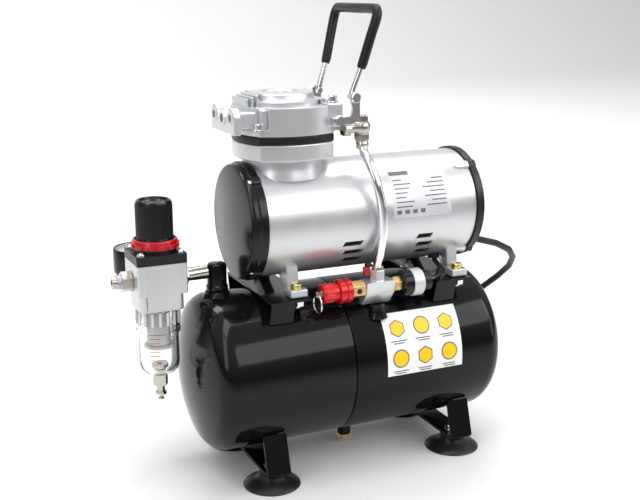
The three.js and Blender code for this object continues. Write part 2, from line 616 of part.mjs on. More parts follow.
// pressure gauge lying dial up behind the regulator, on a side stem
const gaugeCase = () => join(
  turnZ([
    [0, 160], [15, 160], [17.6, 158.6], [GAUGE_R - 1, 160], [GAUGE_R, 163], [GAUGE_R, GAUGE_TOP - 1],
    [GAUGE_R - 0.6, GAUGE_TOP], [17, GAUGE_TOP], [16.6, 176], [0, 176],
  ]).translate(GAUGE[0], GAUGE[1], 0),
  discY(5, 19 + GAP, 26, GAUGE[0], 168, SMALL));
part('gauge_case', gaugeCase(), blackPlastic);
part('gauge_needle', join(
  discZ(1.8, 176.3, 178.6, GAUGE[0], GAUGE[1], SMALL),
  extrudeZ(flatShape([[-0.9, 5], [0.9, 5], [0.3, -12.5], [-0.3, -12.5]].reverse()), 177, 177.8)
    .rotateZ(-Math.PI / 4).translate(GAUGE[0], GAUGE[1], 0)), blackPlastic);

// ---------------------------------------------------------------- switch and mains cord
part('power_rocker', join(
  extrudeX([[-6.5, 0], [6.5, 0], [6.5, 3], [-6.5, 3]], -5.6, 5.6).rotateY(Math.PI / 2)
    .translate(COVER_RIGHT - 3.2, 0, 226),
  box([COVER_RIGHT - 1, -6.2, 221], [COVER_RIGHT + 1.6, 6.2, 225])), redPlastic);

const [EX, EY, EZ] = CORD_EXIT;
const RELIEF_LENGTH = 22;
part('strain_relief', cut(
  turnX([
    [0, EX], [6, EX], [6, EX + 3], [4.8, EX + 4], [4, EX + RELIEF_LENGTH], [0, EX + RELIEF_LENGTH],
  ], SMALL).translate(0, EY, EZ),
  discX(CORD_R + GAP, EX + 2, EX + RELIEF_LENGTH + 1, EY, EZ, SMALL)), rubber);

// the cord leaves the relief level, droops past the tank's end and runs back to the coil behind the tank
const FLOOR = CORD_R + 0.1;
const CORD = [
  [EX + 3, EY, EZ], [EX + 12, EY, EZ], [EX + RELIEF_LENGTH, EY, EZ], [EX + 38, EY + 0.5, EZ - 4],
  [EX + 58, EY + 2, EZ - 10], [EX + 75, EY + 6, EZ - 18.5], [EX + 87, EY + 16, EZ - 29],
  [EX + 92, EY + 28, EZ - 41], [EX + 89, EY + 41, EZ - 54], [EX + 79, EY + 53, EZ - 68],
  [EX + 63, EY + 65, EZ - 84], [EX + 45, EY + 76, EZ - 102], [EX + 26, EY + 87, EZ - 119],
  [EX + 7, EY + 97, EZ - 135], [EX - 12, EY + 105, EZ - 148.5],
  [EX - 30, EY + 110.5, EZ - 157], [EX - 46, EY + 113.5, FLOOR + 0.3], [EX - 60, EY + 114.7, FLOOR],
];
part('mains_cord', sweep(CORD, polygon(CORD_R, 8), 34), rubber);

const coilRing = () => {
  const side = 9.6;
  return turnZ([
    [COIL_R - side, 0.2], [COIL_R + side, 0.2], [COIL_R + side, 12], [COIL_R + 6, 17.8],
    [COIL_R - 6, 17.8], [COIL_R - side, 12], [COIL_R - side, 0.2],
  ], MEDIUM).translate(COIL[0], COIL[1], 0);
};

// two-pin plug lying flat across the top of the coil, its tail towards +X
const PLUG = [COIL[0] - 16, COIL[1] + COIL_R, 18.2];
const PLUG_TAIL = 17;
const PLUG_MIDDLE = 6.5;    // height of its cord and pins above its underside

// the last turn climbs from the coil into the plug's tail
const lastTurn = () => {
  const points = Array.from({ length: 7 }, (_, i) => {
    const angle = ((i - 2.4) * Math.PI) / 8.6;
    const radius = COIL_R - 6 + i;
    const height = 14 + ((PLUG[2] + PLUG_MIDDLE - 14) * i) / 6;
    return [COIL[0] + radius * Math.cos(angle), COIL[1] + radius * Math.sin(angle), height];
  });
  const ends = [2.5, 0].map((away) => [PLUG[0] + PLUG_TAIL + GAP + away, PLUG[1], PLUG[2] + PLUG_MIDDLE]);
  return sweep([...points, ...ends], polygon(CORD_R, 8), 14);
};
part('cord_coil', join(coilRing(), lastTurn()), rubber);

const plug = () => join(
  extrudeZ(flatShape([
    [-17, -7], [-14, -9], [12, -8], [PLUG_TAIL, -5], [PLUG_TAIL, 5], [12, 8], [-14, 9], [-17, 7],
  ]), PLUG[2], PLUG[2] + 2 * PLUG_MIDDLE),
  ...[-5, 5].map((y) => discX(2, -35, -15, y, PLUG[2] + PLUG_MIDDLE, SMALL)))
  .translate(PLUG[0], PLUG[1], 0);
part('mains_plug', plug(), rubber);

export default group;
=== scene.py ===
import json
import math

import bmesh
import bpy
from mathutils import Matrix, Vector


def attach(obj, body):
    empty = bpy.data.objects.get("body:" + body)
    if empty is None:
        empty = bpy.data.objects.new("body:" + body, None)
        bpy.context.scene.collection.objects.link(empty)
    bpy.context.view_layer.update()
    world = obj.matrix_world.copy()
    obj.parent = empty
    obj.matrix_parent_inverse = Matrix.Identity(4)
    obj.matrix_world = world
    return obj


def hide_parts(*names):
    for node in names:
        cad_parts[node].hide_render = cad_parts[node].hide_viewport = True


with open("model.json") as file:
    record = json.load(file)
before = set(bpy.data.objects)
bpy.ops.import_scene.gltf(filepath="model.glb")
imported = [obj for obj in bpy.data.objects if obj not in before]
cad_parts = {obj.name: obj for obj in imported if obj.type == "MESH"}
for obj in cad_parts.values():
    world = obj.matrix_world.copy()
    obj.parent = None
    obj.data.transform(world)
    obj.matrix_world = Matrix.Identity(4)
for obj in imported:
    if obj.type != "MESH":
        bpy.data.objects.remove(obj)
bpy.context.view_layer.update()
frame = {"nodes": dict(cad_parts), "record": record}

MM = 0.001
scene = bpy.context.scene


# ---------------------------------------------------------------- camera
CAMERA_PLACE = (-0.3215, -0.7154, 0.3746)
CAMERA_TILT = 75.57
CAMERA_TURN = -24.88
CAMERA_LENS = 57.05


def make_camera():
    data = bpy.data.cameras.new("camera")
    data.lens = CAMERA_LENS
    data.sensor_width = 36
    data.clip_start = 0.01
    data.clip_end = 50
    cam = bpy.data.objects.new("camera", data)
    cam.location = CAMERA_PLACE
    cam.rotation_euler = (math.radians(CAMERA_TILT), 0, math.radians(CAMERA_TURN))
    scene.collection.objects.link(cam)
    scene.camera = cam
    scene.view_settings.view_transform = "Standard"


make_camera()


# ---------------------------------------------------------------- materials
MOTTLE_SCALE = 28
GLOSS_SCALE = 45
DUST_SCALE = 160
DUST_COLOUR = (0.45, 0.44, 0.42, 1)
COAT_ROUGHNESS = 0.04
GRAIN_DEPTH = 0.0005


def mix_in(tree, a, b, factor):
    """A blend of two colours by a 0..1 factor."""
    node = tree.nodes.new("ShaderNodeMix")
    node.data_type = "RGBA"
    node.inputs["A"].default_value = (*a, 1)
    node.inputs["B"].default_value = (*b, 1)
    tree.links.new(factor, node.inputs["Factor"])
    return node.outputs["Result"]


def noise(tree, scale, detail=3.0, low=0.3, high=0.7, stretch=None):
    """Noise in object space, spread to 0..1 between low and high."""
    coord = tree.nodes.new("ShaderNodeTexCoord").outputs["Object"]
    if stretch:
        mapping = tree.nodes.new("ShaderNodeMapping")
        mapping.inputs["Scale"].default_value = stretch
        tree.links.new(coord, mapping.inputs["Vector"])
        coord = mapping.outputs["Vector"]
    tex = tree.nodes.new("ShaderNodeTexNoise")
    tex.inputs["Scale"].default_value = scale
    tex.inputs["Detail"].default_value = detail
    tree.links.new(coord, tex.inputs["Vector"])
    spread = tree.nodes.new("ShaderNodeMapRange")
    spread.inputs["From Min"].default_value = low
    spread.inputs["From Max"].default_value = high
    tree.links.new(tex.outputs["Fac"], spread.inputs["Value"])
    return spread.outputs["Result"]


def scaled(tree, value, low, high):
    """A 0..1 value spread from low to high."""
    node = tree.nodes.new("ShaderNodeMapRange")
    node.inputs["To Min"].default_value = low
    node.inputs["To Max"].default_value = high
    tree.links.new(value, node.inputs["Value"])
    return node.outputs["Result"]


def dusted(tree, base, most):
    """The base colour under uneven dust where the surface faces up."""
    up = tree.nodes.new("ShaderNodeSeparateXYZ")
    tree.links.new(tree.nodes.new("ShaderNodeNewGeometry").outputs["Normal"], up.inputs["Vector"])
    facing = tree.nodes.new("ShaderNodeMapRange")
    facing.inputs["From Min"].default_value = 0.35
    facing.inputs["To Max"].default_value = most
    tree.links.new(up.outputs["Z"], facing.inputs["Value"])
    amount = tree.nodes.new("ShaderNodeMath")
    amount.operation = "MULTIPLY"
    tree.links.new(facing.outputs["Result"], amount.inputs[0])
    tree.links.new(noise(tree, DUST_SCALE, 8, 0.45, 0.75), amount.inputs[1])
    veil = tree.nodes.new("ShaderNodeMix")
    veil.data_type = "RGBA"
    veil.inputs["B"].default_value = DUST_COLOUR
    tree.links.new(amount.outputs[0], veil.inputs["Factor"])
    tree.links.new(base, veil.inputs["A"])
    return veil.outputs["Result"]


def material(name, color, rough, metal=0.0, coat=0.0, grain=(900, 0.02), smudge=0.2, mottle=0.06,
             stretch=None, through=0.0, ior=1.5, dust=0.0, specular=0.5):
    """A surface with fine grain, uneven gloss, slight colour mottling and dust on what faces up."""
    mat = bpy.data.materials.new(name)
    mat.use_nodes = True
    tree = mat.node_tree
    shader = tree.nodes["Principled BSDF"]
    shader.inputs["Metallic"].default_value = metal
    shader.inputs["Coat Weight"].default_value = coat
    shader.inputs["Coat Roughness"].default_value = COAT_ROUGHNESS
    shader.inputs["IOR"].default_value = ior
    shader.inputs["Specular IOR Level"].default_value = specular
    shader.inputs["Transmission Weight"].default_value = through
    dark = tuple(c * (1 - mottle) for c in color)
    light = tuple(min(1, c * (1 + mottle)) for c in color)
    base = mix_in(tree, dark, light, noise(tree, MOTTLE_SCALE, 5))
    rough_out = scaled(tree, noise(tree, GLOSS_SCALE, 6), rough * (1 - smudge), min(1, rough * (1 + smudge)))
    if dust:
        base = dusted(tree, base, dust)
    tree.links.new(base, shader.inputs["Base Color"])
    tree.links.new(rough_out, shader.inputs["Roughness"])
    bump = tree.nodes.new("ShaderNodeBump")
    bump.inputs["Strength"].default_value = grain[1]
    bump.inputs["Distance"].default_value = GRAIN_DEPTH
    tree.links.new(noise(tree, grain[0], 3, 0.2, 0.8, stretch), bump.inputs["Height"])
    tree.links.new(bump.outputs["Normal"], shader.inputs["Normal"])
    return mat


MATERIALS = {
    "black_paint": material("black_enamel", (0.004, 0.004, 0.005), 0.1, grain=(420, 0.02), dust=0.006,
                            specular=0.24),
    "black_plastic": material("black_plastic", (0.009, 0.009, 0.01), 0.34, grain=(1800, 0.1),
                              dust=0.012, specular=0.4),
    "gloss_plastic": material("gloss_black_plastic", (0.007, 0.007, 0.008), 0.2, grain=(900, 0.03),
                              dust=0.012, specular=0.3),
    "rubber": material("rubber", (0.009, 0.009, 0.009), 0.38, grain=(1500, 0.1), dust=0.012, specular=0.35),
    "cast_silver": material("silver_lacquer", (0.66, 0.67, 0.685), 0.32, metal=0.7,
                            grain=(1500, 0.035), smudge=0.12, mottle=0.02),
    "steel": material("ground_steel", (0.5, 0.5, 0.52), 0.3, metal=1, grain=(900, 0.1), stretch=(1, 1, 12)),
    "chrome": material("chrome", (0.82, 0.83, 0.84), 0.08, metal=1, grain=(500, 0.01), smudge=0.5),
    "nickel": material("nickel", (0.52, 0.49, 0.43), 0.2, metal=1, grain=(1200, 0.04), smudge=0.35),
    "brass": material("brass", (0.72, 0.5, 0.22), 0.24, metal=1, grain=(1400, 0.05), smudge=0.35),
    "zinc": material("yellow_zinc", (0.66, 0.56, 0.22), 0.26, metal=1, grain=(1400, 0.05), mottle=0.2),
    "red_metal": material("red_anodised", (0.60, 0.008, 0.012), 0.24, metal=0.35, coat=0.3,
                          grain=(1500, 0.03)),
    "red_plastic": material("red_plastic", (0.46, 0.002, 0.012), 0.26, coat=0.2, grain=(1500, 0.03)),
    "clear_plastic": material("clear_polycarbonate", (0.985, 0.99, 0.99), 0.03, grain=(300, 0.01), smudge=0.6,
                              mottle=0.005, through=1.0, ior=1.42),
    "frosted": material("frosted_nylon", (0.93, 0.94, 0.94), 0.35, grain=(1500, 0.03), mottle=0.02,
                        through=0.35),
    "white_plastic": material("white_plastic", (0.9, 0.9, 0.88), 0.45, grain=(1500, 0.05), mottle=0.03),
    "copper": material("copper_windings", (0.5, 0.2, 0.09), 0.35, metal=0.8, grain=(2200, 0.4),
                       stretch=(6, 1, 1)),
    "label": material("white_vinyl", (0.82, 0.82, 0.8), 0.3, grain=(1200, 0.03), mottle=0.02),
    "plate": material("pale_print", (0.62, 0.63, 0.65), 0.4, grain=(1200, 0.03), metal=0.3, mottle=0.02),
    "ink": material("grey_ink", (0.12, 0.12, 0.13), 0.5, grain=(1500, 0.03), mottle=0.15),
    "yellow": material("yellow_ink", (0.92, 0.55, 0.0), 0.4, grain=(1500, 0.03)),
    "dark": material("shadowed_recess", (0.01, 0.01, 0.01), 0.8, grain=(900, 0.1)),
}


# ---------------------------------------------------------------- shapes: (vertices, faces)
AXES = {
    "z": Matrix.Identity(3),
    "x": Matrix(((0, 0, 1), (1, 0, 0), (0, 1, 0))),
    "y": Matrix(((0, 1, 0), (0, 0, 1), (1, 0, 0))),
}


def put(shape, axis="z", at=(0, 0, 0), turn=0.0):
    """The shape turned about its own Z by degrees, laid along an axis and moved."""
    spin = Matrix.Rotation(math.radians(turn), 3, "Z")
    verts = [AXES[axis] @ (spin @ Vector(v)) + Vector(at) for v in shape[0]]
    return verts, shape[1]


def merge(*shapes):
    verts, faces = [], []
    for v, f in shapes:
        start = len(verts)
        verts += list(v)
        faces += [tuple(i + start for i in face) for face in f]
    return verts, faces


def ngon(r, n, start=0.0):
    angles = [start + 2 * math.pi * i / n for i in range(n)]
    return [(r * math.cos(a), r * math.sin(a)) for a in angles]


def lathe(profile, n=64):
    """[radius, height] points turned about Z. A radius of 0 closes the end."""
    verts, faces, rows = [], [], []
    for r, h in profile:
        start = len(verts)
        if r < 1e-6:
            verts.append((0, 0, h))
            rows.append([start] * n)
        else:
            verts += [(x, y, h) for x, y in ngon(r, n)]
            rows.append(list(range(start, start + n)))
    for a, b in zip(rows, rows[1:]):
        for i in range(n):
            j = (i + 1) % n
            face = tuple(dict.fromkeys((a[i], a[j], b[j], b[i])))
            if len(face) > 2:
                faces.append(face)
    return verts, faces


def disc(r, low, high, edge=0.4, n=48):
    """A round plate with its rims chamfered by edge."""
    profile = [(0, low), (r - edge, low), (r, low + edge), (r, high - edge), (r - edge, high), (0, high)]
    return lathe(profile, n)


def prism(outline, low, high):
    """A flat outline drawn up from low to high."""
    n = len(outline)
    verts = [(x, y, low) for x, y in outline] + [(x, y, high) for x, y in outline]
    faces = [tuple(range(n - 1, -1, -1)), tuple(range(n, 2 * n))]
    faces += [(i, (i + 1) % n, n + (i + 1) % n, n + i) for i in range(n)]
    return verts, faces


def hexagon(r, low, high):
    return prism(ngon(r, 6), low, high)


def block(low, high):
    (x0, y0, z0), (x1, y1, z1) = low, high
    return prism([(x0, y0), (x1, y0), (x1, y1), (x0, y1)], z0, z1)


def spline(points, per=8):
    """A smooth line through the points."""
    p = [Vector(q) for q in points]
    p = [2 * p[0] - p[1], *p, 2 * p[-1] - p[-2]]
    line = []
    for a, b, c, d in zip(p, p[1:], p[2:], p[3:]):
        for i in range(per):
            t = i / per
            line.append(0.5 * (2 * b + (c - a) * t + (2 * a - 5 * b + 4 * c - d) * t * t
                               + (3 * b - a - 3 * c + d) * t ** 3))
    return [*line, p[-2]]


def tube(line, radius, n=16, closed=False):
    """A round tube along a line, radius a number or one per point."""
    count = len(line)
    radii = radius if isinstance(radius, list) else [radius] * count
    verts, side = [], None
    for i, point in enumerate(line):
        ahead = line[(i + 1) % count] if closed or i + 1 < count else point
        behind = line[i - 1] if closed or i else point
        along = (ahead - behind).normalized()
        if side is None:
            side = along.orthogonal().normalized()
        side = (side - along * side.dot(along)).normalized()
        other = along.cross(side)
        for k in range(n):
            angle = 2 * math.pi * k / n
            verts.append(point + (side * math.cos(angle) + other * math.sin(angle)) * radii[i])
    faces = []
    for i in range(count if closed else count - 1):
        a, b = i * n, ((i + 1) % count) * n
        faces += [(a + k, a + (k + 1) % n, b + (k + 1) % n, b + k) for k in range(n)]
    if not closed:
        faces += [tuple(range(n - 1, -1, -1)), tuple(range((count - 1) * n, count * n))]
    return verts, faces


def ring(radius, wire, n=48):
    line = [Vector((x, y, 0)) for x, y in ngon(radius, n)]
    return tube(line, wire, 12, closed=True)


def smooth(mesh, angle=32):
    mesh.polygons.foreach_set("use_smooth", [True] * len(mesh.polygons))
    mesh.set_sharp_from_angle(angle=math.radians(angle))


def soften(obj, width, angle=33):
    """Rounds the hard edges slightly."""
    bevel = obj.modifiers.new("edges", "BEVEL")
    bevel.width = width * MM
    bevel.segments = 2
    bevel.limit_method = "ANGLE"
    bevel.angle_limit = math.radians(angle)
    bevel.miter_outer = "MITER_ARC"
    even = obj.modifiers.new("normals", "WEIGHTED_NORMAL")
    even.keep_sharp = False


def piece(name, shape, mat, body="frame", bevel=0.0, replaces=(), angle=32):
    """A named mesh that rides on a body and stands for the nodes it replaces."""
    verts, faces = shape
    mesh = bpy.data.meshes.new(name)
    mesh.from_pydata([Vector(v) * MM for v in verts], [], faces)
    work = bmesh.new()
    work.from_mesh(mesh)
    bmesh.ops.remove_doubles(work, verts=work.verts, dist=1e-7)
    bmesh.ops.recalc_face_normals(work, faces=work.faces)
    work.to_mesh(mesh)
    work.free()
    smooth(mesh, angle)
    mesh.materials.append(MATERIALS[mat])
    obj = bpy.data.objects.new(name, mesh)
    scene.collection.objects.link(obj)
    if bevel:
        soften(obj, bevel)
    if replaces:
        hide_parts(*replaces)
    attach(obj, body)
    return obj


def cut(obj, shape):
    """Takes a shape out of a made piece."""
    verts, faces = shape
    mesh = bpy.data.meshes.new("cutter")
    mesh.from_pydata([Vector(v) * MM for v in verts], [], faces)
    cutter = bpy.data.objects.new("cutter", mesh)
    scene.collection.objects.link(cutter)
    mod = obj.modifiers.new("cut", "BOOLEAN")
    mod.operation = "DIFFERENCE"
    mod.solver = "EXACT"
    mod.object = cutter
    bpy.context.view_layer.update()
    done = bpy.data.meshes.new_from_object(obj.evaluated_get(bpy.context.evaluated_depsgraph_get()))
    obj.modifiers.clear()
    smooth(done)
    obj.data = done
    bpy.data.objects.remove(cutter)


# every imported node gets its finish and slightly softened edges
SLOT_OF = {entry["node"]: entry["material_slot"] for entry in frame["record"]["subparts"]}
for name, node in frame["nodes"].items():
    node.data.materials.clear()
    node.data.materials.append(MATERIALS[SLOT_OF[name]])
    weld = node.modifiers.new("weld", "WELD")
    weld.merge_threshold = 1e-6
    soften(node, 0.8 if name in ("regulator_body", "manifold_block") else 0.35)


# ---------------------------------------------------------------- mains cord
CORD_D = 6.0
CORD_EXIT = (137.3, 20, 163)
CORD_FLOOR = CORD_D / 2 + 0.1
CORD_BENDS = (
    (3, 0, 0), (12, 0, 0), (22, 0, 0), (38, 0.5, -4), (58, 2, -10), (75, 6, -18.5), (87, 16, -29),
    (92, 28, -41), (89, 41, -54), (79, 53, -68), (63, 65, -84), (45, 76, -102), (26, 87, -119),
    (7, 97, -135), (-12, 105, -148.5), (-30, 110.5, -157),
)
COIL = (35, 96)
COIL_R = 33
COIL_STEPS = 24
PLUG = (COIL[0] - 16, COIL[1] + COIL_R, 18.2)
PLUG_MIDDLE = 6.5
PIN_LENGTH = 18
TIE_TURN = 215


def coil_line():
    """The spare cord in a neat flat coil of three layers, whose last half turn climbs to the plug's tail."""
    pitch = CORD_D + 0.05
    outer, inner = COIL_R + pitch, COIL_R - pitch
    last_climb = PLUG[2] + PLUG_MIDDLE - CORD_D / 2 - 0.1 - 3 * pitch
    # start radius, end radius, turns and rise of each stretch
    layers = [
        (outer, inner, 2, 0), (inner, inner, 0.25, pitch), (inner, outer, 2, 0), (outer, outer, 0.25, pitch),
        (outer, inner, 2, 0), (inner, inner, 0.25, pitch), (inner, COIL_R, 0.25, last_climb),
    ]
    points, angle, z = [], math.pi / 2, CORD_FLOOR
    for start, end, turns, rise in layers:
        steps = round(turns * COIL_STEPS)
        for i in range(steps):
            t = i / steps
            ease = t * t * (3 - 2 * t)
            a = angle + 2 * math.pi * turns * t
            r = start + (end - start) * t
            points.append((COIL[0] + r * math.cos(a), COIL[1] + r * math.sin(a), z + rise * ease))
        angle += 2 * math.pi * turns
        z += rise
    return points + [(COIL[0], PLUG[1], z)]


def cord_route():
    """The cord's centre line: out of the strain relief, down behind the tank and round the coil."""
    x, y, z = CORD_EXIT
    drop = [(x + a, y + b, z + c) for a, b, c in CORD_BENDS]
    floor = CORD_FLOOR
    landing = [(x - 46, y + 113.5, floor + 0.3), (x - 60, y + 114.7, floor), (56, 135.1, floor)]
    return drop + landing + coil_line()


def length_of(points):
    return sum((Vector(b) - Vector(a)).length for a, b in zip(points, points[1:]))


def make_cord():
    points = cord_route()
    data = bpy.data.curves.new("mains_cord_run", "CURVE")
    data.dimensions = "3D"
    data.bevel_depth = CORD_D / 2 * MM
    data.bevel_resolution = 4
    data.resolution_u = 3
    data.use_fill_caps = True
    line = data.splines.new("POLY")
    line.points.add(len(points) - 1)
    for target, point in zip(line.points, points):
        target.co = (*(Vector(point) * MM), 1)
    data.materials.append(MATERIALS["rubber"])
    obj = bpy.data.objects.new("mains_cord_run", data)
    scene.collection.objects.link(obj)
    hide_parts("mains_cord", "cord_coil")
    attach(obj, "frame")
    return obj, points


def make_boot():
    """The ribbed strain relief, tapering along the cord."""
    profile = [(0, 0), (6.6, 0), (6.6, 2.4), (5.2, 3.2)]
    for i in range(5):
        ridge, groove, start = 5.0 - 0.22 * i, 4.0 - 0.1 * i, 3.3 * i
        profile += [(ridge, 4.6 + start), (ridge, 6.4 + start), (groove, 6.8 + start)]
    profile += [(3.5, 21.8), (3.2, 22), (0, 22)]
    piece("cord_boot", put(lathe(profile, 32), "x", CORD_EXIT), "rubber", replaces=["strain_relief"])


def make_plug():
    outline = [(-17, -6), (-15, -8), (-10, -9), (12, -8), (17, -4.5)]
    outline += [(x, -y) for x, y in reversed(outline)]
    body = piece("plug_body", put(prism(outline, 0, 2 * PLUG_MIDDLE), "z", PLUG), "rubber", bevel=1.6,
                 replaces=["mains_plug"])
    pin = lathe([(0, 0), (1.2, 0), (2, 1), (2, PIN_LENGTH), (0, PIN_LENGTH)], 20)
    x, y, z = PLUG[0] - 17 - PIN_LENGTH, PLUG[1], PLUG[2] + PLUG_MIDDLE
    pair = [put(pin, "x", (x, y + side, z)) for side in (-5, 5)]
    return body, piece("plug_pins", merge(*pair), "brass")


def coil_tie():
    """A flat strap over the coil's bundle, with its ends tucked under on the bench side."""
    half = [(10.4, 0.3), (10.6, 14.5), (9.4, 18.2), (7, 19.2)]
    section = half + [(-a, b) for a, b in reversed(half)]
    inside = [(a * 0.9, b - 0.7 if b > 1 else b) for a, b in section]
    band = prism([(COIL_R + a, b) for a, b in section + inside[::-1]], -3.2, 3.2)
    standing = [(x, -y, z) for x, z, y in band[0]], band[1]
    return put(standing, "z", (*COIL, 0), TIE_TURN)


cord, cord_points = make_cord()
make_boot()
plug, pins = make_plug()
tie = piece("coil_tie", coil_tie(), "black_plastic", bevel=0.2)


# ---------------------------------------------------------------- tank
TANK_R = 62.5
TANK_Z = 84
TANK_LEFT = -105
TANK_RIGHT = 159
TANK_SEAM = 13
DISH_R = 150
KNUCKLE_R = 16
ELBOW_X = -77.3
DRAIN_X = 32.8
MANIFOLD = (39, -44.5, 149.5)
FOOT_X = {"left": -51, "right": 113}
FOOT_Y = {"front": -43, "back": 43}


def tank_end(end, inward):
    """Half section of a dished end, from the axis out to the shell."""
    meet = math.asin((TANK_R - KNUCKLE_R) / (DISH_R - KNUCKLE_R))
    depth = DISH_R - (DISH_R - KNUCKLE_R) * math.cos(meet)
    crown = [(DISH_R * math.sin(meet * i / 8), DISH_R - DISH_R * math.cos(meet * i / 8)) for i in range(9)]
    bend = [meet + (math.pi / 2 - meet) * i / 10 for i in range(1, 11)]
    knuckle = [(TANK_R - KNUCKLE_R + KNUCKLE_R * math.sin(a), depth - KNUCKLE_R * math.cos(a)) for a in bend]
    return [(r, end + inward * d) for r, d in crown + knuckle]


def make_tank():
    centre = (0, 0, TANK_Z)
    left = tank_end(TANK_LEFT, 1)
    left += [(TANK_R, TANK_SEAM - 0.3), (TANK_R - 0.4, TANK_SEAM)]
    left += [(60.4, TANK_SEAM + 0.2), (60.4, TANK_SEAM + 4), (0, TANK_SEAM + 4)]
    right = [(0, TANK_SEAM + 1.2), (TANK_R - 0.4, TANK_SEAM + 1.2), (TANK_R, TANK_SEAM + 1.7)]
    right += tank_end(TANK_RIGHT, -1)[::-1]
    for side, profile in (("left", left), ("right", right)):
        piece(f"tank_shell_{side}", put(lathe(profile, 128), "x", centre), "black_paint",
              replaces=[f"tank_{side}_half"], angle=50)
    boss = [(0, 139), (12, 144), (10.4, 146.8), (9.5, 147.8), (9.5, 148.8), (9.1, 149.2), (0, 149.2)]
    piece("elbow_boss", put(lathe(boss), "z", (ELBOW_X, 0, 0)), "black_paint")
    boss = [(0, 118), (8.5, 125), (6.9, 129), (6.5, 131), (6.5, 134.2), (6.1, 134.6), (0, 134.6)]
    piece("manifold_boss", put(lathe(boss), "z", (MANIFOLD[0], MANIFOLD[1], 0)), "black_paint")
    boss = [(0, 18.9), (6.6, 18.9), (7, 19.3), (7, 21.2), (9.6, 22.4), (0, 24)]
    piece("drain_boss", put(lathe(boss), "z", (DRAIN_X, 0, 0)), "black_paint")


def make_feet():
    cup = [
        (0, 3.9), (13.5, 3.2), (20, 1.1), (21.9, 0), (22.5, 0.35), (22.2, 0.9), (20.6, 2.3), (17.5, 4.0),
        (14.6, 5.1), (12.4, 6.4), (10.9, 8.0), (10.0, 9.2), (9.6, 9.6), (9.6, 10.6), (9.0, 11.0), (9.0, 11.8),
        (8.7, 12.1), (0, 12.1),
    ]
    stud = merge(disc(6.2, 15.1, 16, 0.25), put(hexagon(5.2, 16, 19.6), turn=20),
                 disc(2.6, 19.6, 22, 0.5, 24))
    for side, x in FOOT_X.items():
        for end, y in FOOT_Y.items():
            piece(f"cup_{end}_{side}", put(lathe(cup, 64), "z", (x, y, 0)), "rubber",
                  replaces=[f"foot_cup_{end}_{side}"])
            piece(f"foot_nut_{end}_{side}", put(stud, "z", (x, y, 0)), "chrome", bevel=0.3)


# ---------------------------------------------------------------- printed labels
def wrapped(shapes, radius, height, lift):
    """Flat outlines of (x, s), s running up the front of a cylinder that lies along X."""
    verts, faces = [], []
    rings = 4
    for outline in shapes:
        cx = sum(p[0] for p in outline) / len(outline)
        cs = sum(p[1] for p in outline) / len(outline)
        start, n = len(verts), len(outline)
        for k in range(1, rings + 1):
            verts += [(cx + (x - cx) * k / rings, cs + (s - cs) * k / rings) for x, s in outline]
        verts.append((cx, cs))
        for i in range(n):
            j = (i + 1) % n
            faces.append((len(verts) - 1, start + j, start + i))
            for row in (start + k * n for k in range(rings - 1)):
                faces.append((row + i, row + j, row + n + j, row + n + i))
    r = radius + lift
    return [(x, -r * math.cos(s / radius), height + r * math.sin(s / radius)) for x, s in verts], faces


def rectangle(x0, x1, s0, s1):
    """An outline with enough points along its sides to follow the curve."""
    n = max(2, round((s1 - s0) / 2.5))
    up = [(x1, s0 + (s1 - s0) * i / n) for i in range(n + 1)]
    down = [(x0, s1 - (s1 - s0) * i / n) for i in range(n + 1)]
    return up + down


def make_tank_sticker():
    """A white sticker with six plain discs and hexagons over short bars."""
    marks, rims, bars = [], [], []
    for row, s in enumerate((33.5, 9.5)):
        for column, x in enumerate((52, 74, 96)):
            sides = 28 if (row + column) % 2 else 6
            marks.append([(x + a, s + b) for a, b in ngon(6.3, sides, math.pi / 6)])
            rims.append([(x + a, s + b) for a, b in ngon(7.3, sides, math.pi / 6)])
            bars.append(rectangle(x - 7.5 + row, x + 7 - column, s - 10.4, s - 9.6))
            bars.append(rectangle(x - 5, x + 4.5 + column * 0.5, s - 12.2, s - 11.4))
    for name, shapes, lift, mat in (
        ("tank_sticker", [rectangle(40, 108, -3.8, 46.9)], 0.22, "label"),
        ("sticker_rims", rims, 0.32, "ink"),
        ("sticker_marks", marks, 0.42, "yellow"),
        ("sticker_lines", bars, 0.32, "ink"),
    ):
        piece(name, wrapped(shapes, TANK_R, TANK_Z, lift), mat)


def make_rating_print():
    """A pale printed area on the motor with plain bars and squares."""
    lines = []
    for row in range(7):
        s = 30 - 3.6 * row
        left = 8 + (row * 7) % 9
        right = 10 + (row * 5) % 11
        lines += [rectangle(56, 56 + left, s, s + 0.9), rectangle(101 - right, 101, s, s + 0.9)]
    lines += [rectangle(56 + 7 * i, 60 + 7 * i, 3.2, 6.2) for i in range(4)]
    for name, shapes, lift, mat in (
        ("rating_print", [rectangle(53, 105, 0, 40)], 0.12, "plate"),
        ("rating_lines", lines, 0.22, "ink"),
        ("rating_heading", [rectangle(55, 72, 35, 38.6)], 0.22, "ink"),
    ):
        piece(name, wrapped(shapes, MOTOR_R, MOTOR_Z, lift), mat)


# ---------------------------------------------------------------- motor
MOTOR_R = 44.2
MOTOR_Z = 202
CASE_INSIDE_R = 41
LOUVRES = 3
LOUVRE_Z = 183.3
LOUVRE_PITCH = 7.5
LOUVRE_SHIFT = 1.6
LOUVRE_HEIGHT = 3.9
PAD_X = {"left": -34.5, "right": 107.5}
SIDES = {"front": -1, "back": 1}
COVER_SCREWS = (38, 142, 218, 322)
COVER_SCREW_R = 42.5
PUMP_X = -22
BORE = put(lathe([(0, 225), (21.2, 225), (21.2, 265), (0, 265)], 64), "z", (PUMP_X, 0, 0))


def motor_at(radius, degrees):
    """Y and Z of a point round the motor's axis, from the top towards the front."""
    angle = math.radians(degrees)
    return -radius * math.sin(angle), MOTOR_Z + radius * math.cos(angle)


